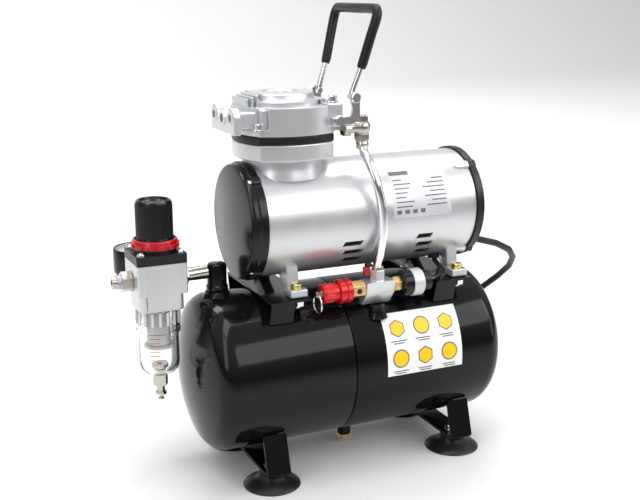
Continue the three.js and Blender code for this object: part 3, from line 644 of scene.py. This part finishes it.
def shell(name, low, high, slots, width, node):
    """A length of the motor's casing with three slanted louvres, with a dark sheet of painted shade behind
    them.
    """
    profile = [(CASE_INSIDE_R, low), (MOTOR_R - 0.4, low), (MOTOR_R, low + 0.4), (MOTOR_R, high - 0.4),
               (MOTOR_R - 0.4, high), (CASE_INSIDE_R, high), (CASE_INSIDE_R, low)]
    obj = piece(name, put(lathe(profile, 128), "x", (0, 0, MOTOR_Z)), "cast_silver", replaces=[node])
    for i in range(LOUVRES):
        x, z = slots + LOUVRE_SHIFT * i, LOUVRE_Z - LOUVRE_PITCH * i
        top = z + LOUVRE_HEIGHT
        ends = [(x, z), (x + width - 1.4, z), (x + width + 0.6, top), (x + 2, top)]
        slot = prism([(b, a) for a, b in ends][::-1], 0, 40)
        cut(obj, put(slot, "y", (0, -60, 0)))
    # painted shade: a dark sheet just inside the casing stands for the shade seen through the louvres
    start, end = slots - 4, slots + width + 6
    painted_shade_sheet = [(40.5, start), (40.85, start), (40.85, end), (40.5, end), (40.5, start)]
    piece(f"{name}_liner", put(lathe(painted_shade_sheet, 96), "x", (0, 0, MOTOR_Z)), "dark")
    return obj


def make_motor_foot(place, end, x, side):
    """One cast foot of the motor: pad, strut, screw on top and nut below."""
    pad = block((x, -7, 0), (x + 14.2, 7, 6.3))
    piece(f"foot_pad_{end}_{place}", put(pad, "z", (0, side * 37.9, 148.5)), "cast_silver", bevel=1.1)
    outline = [(34, 153.6), (30.5, 172), (12, 172), (12, 161), (24, 153), (28, 150)]
    strut = prism([(side * y, z) for y, z in outline][::side], x + 2.2, x + 12)
    strut = [(v[2], v[0], v[1]) for v in strut[0]], strut[1]
    piece(f"foot_strut_{end}_{place}", strut, "cast_silver", bevel=1.4)
    at = (x + 7.1, side * 39.6, 0)
    head = [(0, 155.6), (4.2, 155.6), (4.4, 156.2), (4.2, 158), (3.4, 158.9), (1.6, 159), (1.4, 157.6),
            (0, 157.4)]
    screw = merge(disc(5.2, 154.8, 155.6, 0.25), lathe(head, 32))
    piece(f"foot_screw_{end}_{place}", put(screw, "z", at), "zinc")
    nut = merge(put(hexagon(5.6, 141.6, 145.4), turn=12), disc(2.4, 139.6, 142, 0.4, 24),
                disc(6, 145.4, 146.5, 0.2))
    piece(f"foot_nut_under_{end}_{place}", put(nut, "z", at), "chrome", bevel=0.25)


def cover_screw(start, out):
    """A domed screw head with a recess, standing out from a cover."""
    steps = [(0, 0), (2.9, 0), (2.9, 1.2), (2.4, 2.1), (1.5, 2.3), (1.3, 1.2), (0, 1.1)]
    return lathe([(r, start + out * h) for r, h in steps], 32)


def make_motor():
    crankcase = shell("crankcase_casting", -51, 40.7, 10.5, 17.5, "crankcase")
    cut(crankcase, BORE)
    shell("housing_casting", 41, 129, 75, 15, "motor_housing")
    for place, x in PAD_X.items():
        for end, side in SIDES.items():
            make_motor_foot(place, end, x, side)
    cover = [(0, -64), (41.4, -64), (43.3, -63.4), (44.3, -62.2), (44.6, -60.6), (44.6, -58.4), (45.2, -57.6),
             (46, -57), (46, -51.8), (45.6, -51.3), (0, -51.3)]
    piece("crank_cover_shell", put(lathe(cover, 128), "x", (0, 0, MOTOR_Z)), "gloss_plastic",
          replaces=["left_end_cover"])
    lug = [(0, 112), (1.5, 112.6), (3.6, 115.5), (4.7, 119), (5, 122), (5, 128.6), (4.6, 129), (0, 129)]
    for i, degrees in enumerate(COVER_SCREWS):
        y, z = motor_at(COVER_SCREW_R, degrees)
        piece(f"cover_lug_{i}", put(disc(5.4, -58.6, -51.4, 0.8), "x", (0, y, z)), "gloss_plastic")
        piece(f"cover_screw_{i}", put(cover_screw(-58.6, -1), "x", (0, y, z)), "chrome")
        y, z = motor_at(41.8, degrees)
        piece(f"housing_lug_{i}", put(lathe(lug, 40), "x", (0, y, z)), "cast_silver")
        y, z = motor_at(COVER_SCREW_R, degrees)
        piece(f"rear_screw_{i}", put(cover_screw(135, 1), "x", (0, y, z)), "chrome")


# ---------------------------------------------------------------- pump
HEAD_REACH = 44.1
HEAD_CORNER = 30.5
HEAD_SOFTENING = 3.4
HEAD_BOLTS = ((-53.2, -31.5, 275), (-53.2, 31.5, 275), (8.3, -26.3, 292.5), (8.3, 26.3, 292.5))
EARS = (-19.8, 15.2)
EAR_R = 7.6
EAR_Z = 283.4
EAR_FACE = -70.8
RIM_FACE = -71.2


def bowed(a, b, c, n):
    """Points from a to c along a curve pulled towards b, without its last one."""
    points = []
    for t in (i / n for i in range(n)):
        points.append(tuple((1 - t) ** 2 * p + 2 * t * (1 - t) * q + t * t * r for p, q, r in zip(a, b, c)))
    return points


def head_outline(inset=0.0):
    """A square with bowed sides and softened corners."""
    reach, corner, soft = HEAD_REACH - inset, HEAD_CORNER - inset, HEAD_SOFTENING
    side = bowed((corner, soft - corner), (reach, 0), (corner, corner - soft), 14)
    side += bowed((corner, corner - soft), (corner, corner), (corner - soft, corner), 6)
    points = []
    for k in range(4):
        c, s = round(math.cos(math.pi * k / 2)), round(math.sin(math.pi * k / 2))
        points += [(c * x - s * y, s * x + c * y) for x, y in side]
    return points


def make_cylinder():
    pump = (PUMP_X, 0, 0)
    profile = [(0, 222), (33, 236), (32.2, 240), (31.4, 243), (31, 246), (31, 249.6), (32.2, 251), (34, 252),
               (0, 252)]
    neck = piece("cylinder_neck", put(lathe(profile, 96), "z", pump), "cast_silver", angle=50)
    inside_r = MOTOR_R - 1.5
    barrel = lathe([(0, -50), (inside_r, -50), (inside_r, 35), (0, 35)], 96)
    cut(neck, put(barrel, "x", (0, 0, MOTOR_Z)))
    cut(neck, BORE)
    flange = piece("pump_flange", put(prism(head_outline(), 251, 263.7), "z", pump), "cast_silver")
    cut(flange, BORE)
    soften(flange, 1.2)
    piece("gasket_plate", put(prism(head_outline(-0.2), 264, 269.5), "z", pump), "rubber", bevel=0.5,
          replaces=["valve_plate"])


def make_head():
    head = piece("head_casting", put(prism(head_outline(), 269.8, 290.5), "z", (PUMP_X, 0, 0)), "cast_silver",
                 replaces=["cylinder_head"])
    cut(head, block((-61, -42, 275), (-45.5, -26, 295)))
    cut(head, block((-61, 26, 275), (-45.5, 42, 295)))
    soften(head, 0.9)
    dome = [(0, 289), (29.5, 289), (29.5, 293.6), (28.8, 294.6), (26.2, 295), (25.4, 296), (25, 298.6),
            (24, 299.6), (15, 300.4), (14, 300.2), (13.2, 299.2), (5, 299.2), (4.4, 300), (0, 300.2)]
    piece("head_cover_dome", put(lathe(dome, 96), "z", (PUMP_X - 1, 0, 0)), "cast_silver")
    for i in range(4):
        x, y = -56.5 + 3.7 * i, 15 + i
        fin = block((x, -y, 288), (x + 1.9, y, 296.5 + 1.2 * i))
        piece(f"head_fin_{i}", fin, "cast_silver", bevel=0.7)
    for i in range(3):
        x, y = 3.6 * i, 19 - i
        rib = block((2.5 + x, -y, 288), (4.3 + x, y, 295.5 - 1.2 * i))
        piece(f"head_rib_{i}", rib, "cast_silver", bevel=0.7)
    for name, low, high in (
        ("head_lug_front", (-66, -25.5, 275.5), (-50, -14, 288)),
        ("head_lug_back", (-66, 9.5, 275.5), (-50, 21, 288)),
        ("head_web", (-66, -14.2, 276), (-50, 9.7, 281.5)),
        ("hinge_boss_front", (2, -32.6, 274.5), (14.5, -20, 292.5)),
        ("hinge_boss_back", (2, 20, 274.5), (14.5, 32.6, 292.5)),
        ("port_boss", (8, -26, 270.5), (19, -20, 279)),
    ):
        piece(name, block(low, high), "cast_silver", bevel=1.5)
    for i, (x, y, base) in enumerate(HEAD_BOLTS):
        cap = [(0, 0.9), (3.5, 0.9), (3.6, 4.6), (3.2, 5.1), (2, 5.1), (1.9, 3.2), (0, 3)]
        bolt = merge(disc(4.6, base, base + 0.9, 0.2), lathe([(r, base + h) for r, h in cap], 32))
        piece(f"head_bolt_{i}", put(bolt, "z", (x, y, 0)), "chrome")


def intake_outline():
    """Two round ears on a low bridge, as (y, z)."""
    front, back = EARS
    angles = [math.pi * k / 16 for k in range(17)]
    arch = [(-EAR_R * math.cos(a), EAR_Z + EAR_R * math.sin(a)) for a in angles]
    outline = [(front - EAR_R, 271.5)]
    outline += [(front + y, z) for y, z in arch]
    outline += [(front + 9.6, 279), (back - 9.6, 279)]
    outline += [(back + y, z) for y, z in arch]
    return outline + [(back + EAR_R, 271.5)]


def make_intake():
    flange = piece("intake_flange", put(prism(intake_outline(), EAR_FACE, -65.2), "x"), "cast_silver")
    hole = lathe([(0, -1), (3.1, -1), (3.1, 8), (0, 8)], 32)
    for y in EARS:
        cut(flange, put(hole, "x", (-71, y, EAR_Z)))
    soften(flange, 0.8)
    rim = lathe([(3.1, 0), (4.7, 0), (4.9, 0.2), (4.9, 1), (3.1, 1), (3.1, 0)], 40)
    for i, y in enumerate(EARS):
        piece(f"intake_rim_{i}", put(rim, "x", (RIM_FACE, y, EAR_Z)), "cast_silver")
        piece(f"intake_screw_{i}", put(disc(2.7, 0, 3, 0.5), "x", (-68.4, y, EAR_Z)), "steel")
        column_y = math.copysign(26.4, y)
        piece(f"head_column_{i}", put(disc(3.6, 274.5, 289.6, 0.8), "z", (-47.6, column_y, 0)), "cast_silver")
    pipe = lathe([(3.4, 0), (5.6, 0), (6, 0.5), (6, 16), (3.4, 16), (3.4, 0)], 48)
    piece("intake_pipe", put(pipe, "x", (RIM_FACE, -2, 282)), "cast_silver")


# ---------------------------------------------------------------- carrying handle
PIVOT = (22.7, 29.5, 296)
BAIL_R = 2.45
BAIL_MIDDLE = (41, 0, 360.5)
GRIP_R = 3.75
GRIP_INSET = 20.5


def flipped(shape, signs):
    """The shape with its x, y and z multiplied by signs."""
    return [tuple(a * sign for a, sign in zip(v, signs)) for v in shape[0]], shape[1]


def make_handle():
    half = [(PIVOT[0], -PIVOT[1], PIVOT[2]), (24.2, -29.7, 302), (30.1, -31.6, 319), (35.7, -34.2, 340),
            (39.6, -35.9, 354), (40.8, -33.5, 359.6), (41, -28, 360.5)]
    other = [(x, -y, z) for x, y, z in reversed(half)]
    line = spline([*half, BAIL_MIDDLE, *other], 10)
    piece("bail_rod", tube(line, BAIL_R, 20), "chrome", "handle", replaces=["carrying_bail"], angle=50)
    walked, sleeve = 0.0, []
    total = length_of(line)
    for a, b in zip(line, line[1:]):
        walked += (b - a).length
        if GRIP_INSET < walked < total - GRIP_INSET:
            sleeve.append(b)
    radii = [GRIP_R] * len(sleeve)
    radii[0] = radii[-1] = GRIP_R - 0.65
    radii[1] = radii[-2] = GRIP_R - 0.15
    piece("grip_sleeve", tube(sleeve, radii, 24), "rubber", "handle", replaces=["handle_grip"], angle=60)
    pin = merge(disc(2.3, -3.2, 8.2, 0.2, 32), disc(3.9, 7.2, 8.7, 0.5, 32))
    nut = merge(disc(4.4, 35.9, 36.7, 0.2, 32), hexagon(4, 36.7, 39))
    for i, side in enumerate((-1, 1)):
        at = (PIVOT[0], side * PIVOT[1], PIVOT[2])
        piece(f"bail_rivet_{i}", put(flipped(pin, (1, 1, side)), "y", at), "chrome", "handle")
        piece(f"bracket_bolt_{i}", put(flipped(nut, (1, 1, side)), "y", (9.2, 0, 279.3)), "chrome", bevel=0.2)


# ---------------------------------------------------------------- delivery line
PIPE_R = 3.6
ELBOW = (32, -29, 272.8)
BALL_R = 6.6


def make_hose():
    points = [(32, -29, 263.2), (32, -29.3, 260.5), (32, -33, 254), (32.8, -41, 246), (36, -48.2, 230),
              (39.3, -50.4, 212), (40.6, -50, 194), (39.8, -47, 177), (39, -44.6, 168), (39, -44.5, 164.4)]
    line = spline(points, 8)
    piece("delivery_pipe", tube(line, PIPE_R, 32), "chrome", replaces=["delivery_hose"],
          angle=60)
    piece("pipe_sleeve_top", tube(line[:14], [5] * 12 + [4.6, 3.9], 32), "nickel", angle=60)
    piece("pipe_sleeve_low", tube(line[-7:], [3.9, 4.6] + [4.8] * 5, 32), "nickel", angle=60)
    x, y, z = MANIFOLD
    piece("seal_tab", block((x - 10.5, y + 1, z + 9.5), (x - 5.5, y + 6, z + 16)), "red_plastic", bevel=0.8)
    piece("seal_button", put(disc(3.2, z + 16, z + 18.4, 0.8, 32), "z", (x - 6, y + 4, 0)), "gloss_plastic")


def make_banjo():
    angles = [math.pi * i / 20 for i in range(21)]
    ball = lathe([(BALL_R * math.sin(a), -BALL_R * math.cos(a)) for a in angles], 40)
    arm = lathe([(0, -17), (4.4, -17), (4.4, -6), (5.2, -5), (5.2, 0), (0, 0)], 40)
    drop = lathe([(0, -9.3), (5, -9.3), (5.4, -8.9), (5.4, 0), (0, 0)], 40)
    cap = merge(hexagon(5.4, 4.5, 8.6), disc(3, 8.6, 9.6, 0.3, 32))
    piece("banjo_body", merge(put(ball, "z", ELBOW), put(arm, "x", ELBOW), put(drop, "z", ELBOW)), "nickel",
          replaces=["delivery_elbow"], angle=50)
    piece("banjo_cap", put(cap, "z", ELBOW), "nickel", bevel=0.3)
    piece("banjo_nut", put(hexagon(6.7, -16.5, -11.2), "x", ELBOW), "nickel", bevel=0.4)
    piece("hose_nut_top", put(hexagon(6.6, -9.4, -4.6), "z", ELBOW), "nickel", bevel=0.4)


# ---------------------------------------------------------------- manifold
def knurled(radius, low, high, teeth, depth=0.35):
    """A cylinder with square grooves along it."""
    n = teeth * 4
    outline = []
    for i in range(n):
        r = radius - depth * (i % 4 in (2, 3))
        outline.append((r * math.cos(2 * math.pi * i / n), r * math.sin(2 * math.pi * i / n)))
    return prism(outline, low, high)


def make_safety_valve():
    x, y, z = MANIFOLD
    at = (0, y, z)
    collar = [(2.2, x - 35), (9, x - 35), (9.4, x - 34.6), (9.4, x - 31), (8.6, x - 30.4), (8.6, x - 29.4),
              (9.4, x - 28.8), (9.4, x - 25), (9, x - 24.6), (2.2, x - 24.6), (2.2, x - 35)]
    piece("valve_collar", put(lathe(collar, 64), "x", at), "red_metal", replaces=["safety_valve_body"])
    cap = merge(knurled(7.6, x - 46.8, x - 39.5, 26), disc(7.6, x - 48.6, x - 46.7, 0.6),
                disc(7.1, x - 39.6, x - 34.8, 0.3))
    piece("valve_cap", put(cap, "x", at), "red_metal", bevel=0.12)
    piece("valve_spring_guide", put(disc(3.2, x - 49.6, x - 48.4, 0.3, 32), "x", at), "nickel")
    piece("pull_ring_wire", put(ring(7.4, 0.75, 72), "x", (x - 51.3, y, z - 7.4)), "chrome", "relief_ring",
          replaces=["pull_ring"], angle=60)


def make_pressure_switch():
    x, y, z = MANIFOLD
    at = (0, y, z)
    cup = [(0, x + 20.5), (10, x + 20.5), (10.6, x + 21.1), (10.6, x + 27.6), (10.1, x + 28.2), (0, x + 28.2)]
    piece("switch_cup", put(lathe(cup, 64), "x", at), "gloss_plastic",
          replaces=["pressure_switch"])
    band = [(0, x + 28.2), (10.5, x + 28.2), (10.9, x + 28.6), (10.9, x + 37), (10.3, x + 37.8),
            (0, x + 37.8)]
    piece("switch_band", put(lathe(band, 64), "x", at), "plate")
    back = [(0, x + 37.6), (9.4, x + 37.6), (9.4, x + 38.8), (8, x + 39.4), (8, x + 45.4), (7.4, x + 46),
            (0, x + 46)]
    piece("switch_back", put(lathe(back, 64), "x", at), "black_plastic")
    lead = spline([(x + 46.5, y, z), (x + 48, y, z), (93, -43.6, 151), (99, -39.5, 153),
                   (102.6, -31.5, 155.5), (103, -24, 158.6), (103, -21.4, 161.2)], 8)
    piece("lead_sleeve", tube(lead, 1.7, 16), "rubber", replaces=["switch_lead"], angle=60)
    second = spline([(x + 46, y + 4, z - 3), (x + 51, y + 4, z - 4.5), (96, -38, 148.9), (102, -31, 150.8),
                     (106.4, -25, 154.5), (105.6, -20.4, 159), (104.4, -19.6, 161.6)], 8)
    piece("lead_second", tube(second, 1.5, 16), "rubber", angle=60)
    grommet = lathe([(0, 0), (4.6, 0), (5, 0.5), (5, 2.2), (4.2, 2.8), (4.2, 4), (0, 4)], 32)
    piece("lead_grommet", put(grommet, "z", (103.6, -20.6, 160.4)), "rubber")
    piece("switch_terminal", block((x + 45.6, y - 3, z + 1.6), (x + 50, y + 3, z + 2.4)), "brass", bevel=0.15)
    # painted shade: a dark disc stands for the shade inside the vent hole
    vent = lathe([(0, 0), (2.1, 0), (2.1, 0.3), (0, 0.3)], 32)
    piece("adaptor_vent", put(vent, "y", (x - 18.5, y - 6.45, z)), "dark")


# ---------------------------------------------------------------- filter-regulator and gauge
REG_X = -125
REG_AXIS = (REG_X, 0, 0)
PORT_Z = 164.7
BONNET_SCREW = 15
BOWL_R = 15.2
MARK_START = -2.3
THREAD_TURNS = 8
THREAD_PITCH = 1.2
GAUGE = (-128, 40, 0)
DIAL_TOP = 176.24
TICKS = 28


def make_knob():
    skirt = [(11, 190), (13.6, 190), (14, 190.5), (14, 196.4), (13.7, 197), (11, 197), (11, 190)]
    top = [(0, 217), (13.7, 221.8), (13.6, 223), (12.9, 224.4), (12, 224.9), (11, 224.6), (10.4, 223.4),
           (6, 223.2), (5.6, 224), (3.4, 224.2), (2.8, 223.4), (0, 223.4)]
    piece("knob_skirt", put(lathe(skirt, 96), "z", REG_AXIS), "gloss_plastic", "knob",
          replaces=["pressure_knob"])
    piece("knob_ribs", put(knurled(13.95, 197, 222, 60, 0.3), "z", REG_AXIS), "gloss_plastic", "knob",
          angle=60)
    piece("knob_top", put(lathe(top, 96), "z", REG_AXIS), "gloss_plastic", "knob")


def make_locking_ring():
    band = [(15, 189.3), (17, 189.3), (17.4, 189.7), (17.4, 192.4), (17, 193.2), (17, 194.8), (16.6, 195.6),
            (15.9, 196), (15.2, 196), (15, 195.6), (15, 189.3)]
    piece("lock_band", put(lathe(band, 96), "z", REG_AXIS), "red_plastic", replaces=["locking_ring"])
    pad = [(17.2 * math.cos(a), 17.2 * math.sin(a)) for a in (-0.2, -0.1, 0, 0.1, 0.2)]
    pad += [(18.4 * math.cos(a), 18.4 * math.sin(a)) for a in (0.17, 0.06, -0.06, -0.17)]
    for i in range(12):
        shape = put(prism(pad, 189.6, 192.9), "z", REG_AXIS, 30 * i)
        piece(f"lock_pad_{i}", shape, "red_plastic", bevel=0.35)


def make_regulator_body():
    cheek = [(x, -20 + 0.9 * (x / 12.5) ** 2) for x in (-12.5, -11.8, -9, -6, -3, 0, 3, 6, 9, 11.8, 12.5)]
    cheek += [(12.5, -16), (-12.5, -16)]
    piece("body_cheek", put(prism(cheek, 145, 177.6), "z", REG_AXIS), "cast_silver", bevel=0.6)
    head = [(0, 186.4), (3, 186.4), (3.1, 187), (2.6, 188.2), (1.4, 188.8), (1.2, 187.6), (0, 187.4)]
    for i, (sx, sy) in enumerate(((-1, -1), (1, -1), (1, 1), (-1, 1))):
        at = (REG_X + sx * BONNET_SCREW, sy * BONNET_SCREW, 0)
        piece(f"bonnet_screw_{i}", put(lathe(head, 32), "z", at), "chrome")


def scale_mark(z, wide):
    """A thin line printed round the bowl's wall."""
    r = BOWL_R + 0.1
    angles = [MARK_START + wide * k / 6 for k in range(7)]
    verts = [(r * math.cos(a), r * math.sin(a), z) for a in angles]
    verts += [(r * math.cos(a), r * math.sin(a), z + 0.5) for a in reversed(angles)]
    return verts, [(k, k + 1, 12 - k, 13 - k) for k in range(6)]


def make_bowl():
    collar = [(15.45, 123.6), (16.7, 123.6), (16.9, 124), (16.9, 126), (16.5, 126.6), (16.5, 139.6),
              (16.9, 140.2), (16.9, 142.4), (15.45, 142.4), (15.45, 123.6)]
    piece("collar_ring", put(lathe(collar, 96), "z", REG_AXIS), "clear_plastic", replaces=["bowl_collar"])
    rib = block((16.2, -1.1, 131), (17.2, 1.1, 141.6))
    for i in range(18):
        piece(f"collar_rib_{i}", put(rib, "z", REG_AXIS, 20 * i), "frosted", bevel=0.3)
    bowl = [(3.6, 89.6), (8, 89.7), (11.6, 91.4), (14, 94), (15.1, 97.6), (BOWL_R, 101), (BOWL_R, 142),
            (13.4, 142), (13.4, 101), (13, 98), (11.4, 94.8), (8.4, 92.4), (3.6, 91.5), (3.6, 89.6)]
    piece("bowl_shell", put(lathe(bowl, 96), "z", REG_AXIS), "clear_plastic", replaces=["filter_bowl"])
    marks = [scale_mark(104 + 3.4 * i, 0.5 if i % 3 else 0.85) for i in range(7)]
    piece("bowl_scale", put(merge(*marks), "z", REG_AXIS), "red_plastic")
    baffle = lathe([(0, 111), (10.5, 111), (11.5, 112), (11, 113.4), (3, 113.8), (0, 113.8)], 64)
    piece("filter_baffle", put(baffle, "z", REG_AXIS), "white_plastic")


def make_ports():
    thread = [(4.2, -156.4), (5, -155.8)]
    for i in range(THREAD_TURNS):
        x = THREAD_PITCH * i
        thread += [(5, x - 155.8), (5.5, x - 155.5), (5.5, x - 155.1), (5, x - 154.8)]
    thread += [(4.2, -146), (4.2, -156.4)]
    piece("outlet_thread", put(lathe(thread, 64), "x", (0, 0, PORT_Z)), "steel", angle=60)
    piece("inlet_hexagon", put(hexagon(7.9, -105.7, -101.4), "x", (0, 0, PORT_Z)), "nickel", bevel=0.4)
    post = [(0, 149.5), (8.2, 149.5), (8.5, 150), (8.5, 153.6), (7.6, 154.4), (7.6, 168.6), (6.9, 170.6),
            (5.6, 171.2), (0, 171.2)]
    piece("elbow_post", put(lathe(post, 64), "z", (ELBOW_X, 0, 0)), "black_paint", replaces=["inlet_elbow"])


def make_gauge():
    case = [(0, 160), (14.6, 160), (17.2, 158.8), (18.6, 160.4), (19.2, 163), (19.2, 178.8), (18.8, 179.8),
            (17.8, 180), (17.2, 179.4), (16.9, 176.2), (0, 176.1)]
    piece("gauge_can", put(lathe(case, 96), "z", GAUGE), "gloss_plastic",
          replaces=["gauge_case"])
    stem = merge(disc(5, 19.4, 24.5, 0.3), hexagon(6.2, 19.4, 22.6))
    piece("gauge_stem", put(stem, "y", (GAUGE[0], 0, 168)), "brass", bevel=0.3)
    dial = lathe([(0, 176.12), (16.8, 176.12), (16.8, DIAL_TOP), (0, DIAL_TOP)], 64)
    piece("gauge_dial", put(dial, "z", GAUGE), "label")
    ticks = []
    for i in range(TICKS):
        inner, half = (12.6, 0.4) if i % 3 == 0 else (13.8, 0.28)
        tick = block((inner, -half, DIAL_TOP), (15.6, half, DIAL_TOP + 0.06))
        ticks.append(put(tick, "z", GAUGE, 45 - 10 * i))
    piece("gauge_ticks", merge(*ticks), "ink")
    lens = lathe([(0, 179), (17.1, 179), (17.1, 179.5), (0, 179.7)], 64)
    piece("gauge_lens", put(lens, "z", GAUGE), "clear_plastic")


make_tank()
make_feet()
make_tank_sticker()
make_rating_print()
make_motor()
make_cylinder()
make_head()
make_intake()
make_handle()
make_hose()
make_banjo()
make_safety_valve()
make_pressure_switch()
make_knob()
make_locking_ring()
make_regulator_body()
make_bowl()
make_ports()
make_gauge()


# ---------------------------------------------------------------- floor and light
FLOOR_PALE = (0.74, 0.74, 0.74)
# painted shade: the grey the floor's colour turns to in front of the object
FLOOR_SHADE_GREY = (0.28, 0.28, 0.285, 1)
FADE_START = -0.22
FADE_END = -0.8
SKY_LOW = 0.12
SKY_HIGH = 0.75
# name, place, size, watts, point aimed at
LIGHTS = (
    ("key", (-1.1, -0.7, 0.9), (0.4, 1.2), 4, (0, 0, 0.15)),
    ("top", (0.05, -0.1, 1.3), (1.6, 0.35), 7, (0, 0, 0.15)),
    ("fill", (1.4, -0.7, 0.7), (0.5, 1.3), 3, (0, 0, 0.15)),
    ("front", (0.6, -0.85, 0.85), (1.3, 0.6), 7, (0, 0, 0.2)),
    ("wall", (0, 1.2, 2.6), (3.0, 1.5), 105, (0, 3.2, 0.3)),
)


def paint_floor_shade(tree):
    """Painted shade: the floor's colour fades to grey well in front of the object, standing in for the light
    falling off there.
    """
    shader = tree.nodes["Principled BSDF"]
    pale = shader.inputs["Base Color"].links[0].from_socket
    axes = tree.nodes.new("ShaderNodeSeparateXYZ")
    tree.links.new(tree.nodes.new("ShaderNodeTexCoord").outputs["Object"], axes.inputs["Vector"])
    fade = tree.nodes.new("ShaderNodeMapRange")
    fade.inputs["From Min"].default_value = FADE_START
    fade.inputs["From Max"].default_value = FADE_END
    tree.links.new(axes.outputs["Y"], fade.inputs["Value"])
    mix = tree.nodes.new("ShaderNodeMix")
    mix.data_type = "RGBA"
    mix.inputs["B"].default_value = FLOOR_SHADE_GREY
    tree.links.new(fade.outputs["Result"], mix.inputs["Factor"])
    tree.links.new(pale, mix.inputs["A"])
    tree.links.new(mix.outputs["Result"], shader.inputs["Base Color"])


def make_floor():
    """A pale floor that curves up into a wall behind the object."""
    angles = [math.pi / 2 * k / 12 for k in range(1, 13)]
    bend = [(3 + 1.5 * math.sin(a), 1.5 - 1.5 * math.cos(a)) for a in angles]
    profile = [(-5, 0), (3, 0), *bend, (4.5, 6)]
    verts = [(x, y, z) for y, z in profile for x in (-9, 9)]
    faces = [(2 * i, 2 * i + 1, 2 * i + 3, 2 * i + 2) for i in range(len(profile) - 1)]
    mesh = bpy.data.meshes.new("floor")
    mesh.from_pydata(verts, [], faces)
    floor = bpy.data.objects.new("floor", mesh)
    smooth(mesh)
    paint = material("pale_floor", FLOOR_PALE, 0.6, grain=(200, 0.02), mottle=0.01)
    # painted shade on the floor in front of the object
    paint_floor_shade(paint.node_tree)
    mesh.materials.append(paint)
    scene.collection.objects.link(floor)


def make_sky():
    """A white sky, dim at the horizon and bright overhead."""
    world = bpy.data.worlds.new("studio")
    scene.world = world
    world.use_nodes = True
    tree = world.node_tree
    axes = tree.nodes.new("ShaderNodeSeparateXYZ")
    tree.links.new(tree.nodes.new("ShaderNodeTexCoord").outputs["Generated"], axes.inputs["Vector"])
    rise = tree.nodes.new("ShaderNodeMapRange")
    rise.interpolation_type = "SMOOTHSTEP"
    rise.inputs["From Min"].default_value = -0.05
    rise.inputs["From Max"].default_value = 0.6
    rise.inputs["To Min"].default_value = SKY_LOW
    rise.inputs["To Max"].default_value = SKY_HIGH
    tree.links.new(axes.outputs["Z"], rise.inputs["Value"])
    tree.links.new(rise.outputs["Result"], tree.nodes["Background"].inputs["Strength"])
    tree.nodes["Background"].inputs["Color"].default_value = (1, 1, 1, 1)


def make_lights():
    for name, place, size, power, aim in LIGHTS:
        data = bpy.data.lights.new(name, "AREA")
        data.shape = "RECTANGLE"
        data.size, data.size_y = size
        data.energy = power
        lamp = bpy.data.objects.new(name, data)
        lamp.location = place
        lamp.rotation_euler = (Vector(aim) - Vector(place)).to_track_quat("-Z", "Y").to_euler()
        scene.collection.objects.link(lamp)


make_floor()
make_sky()
make_lights()
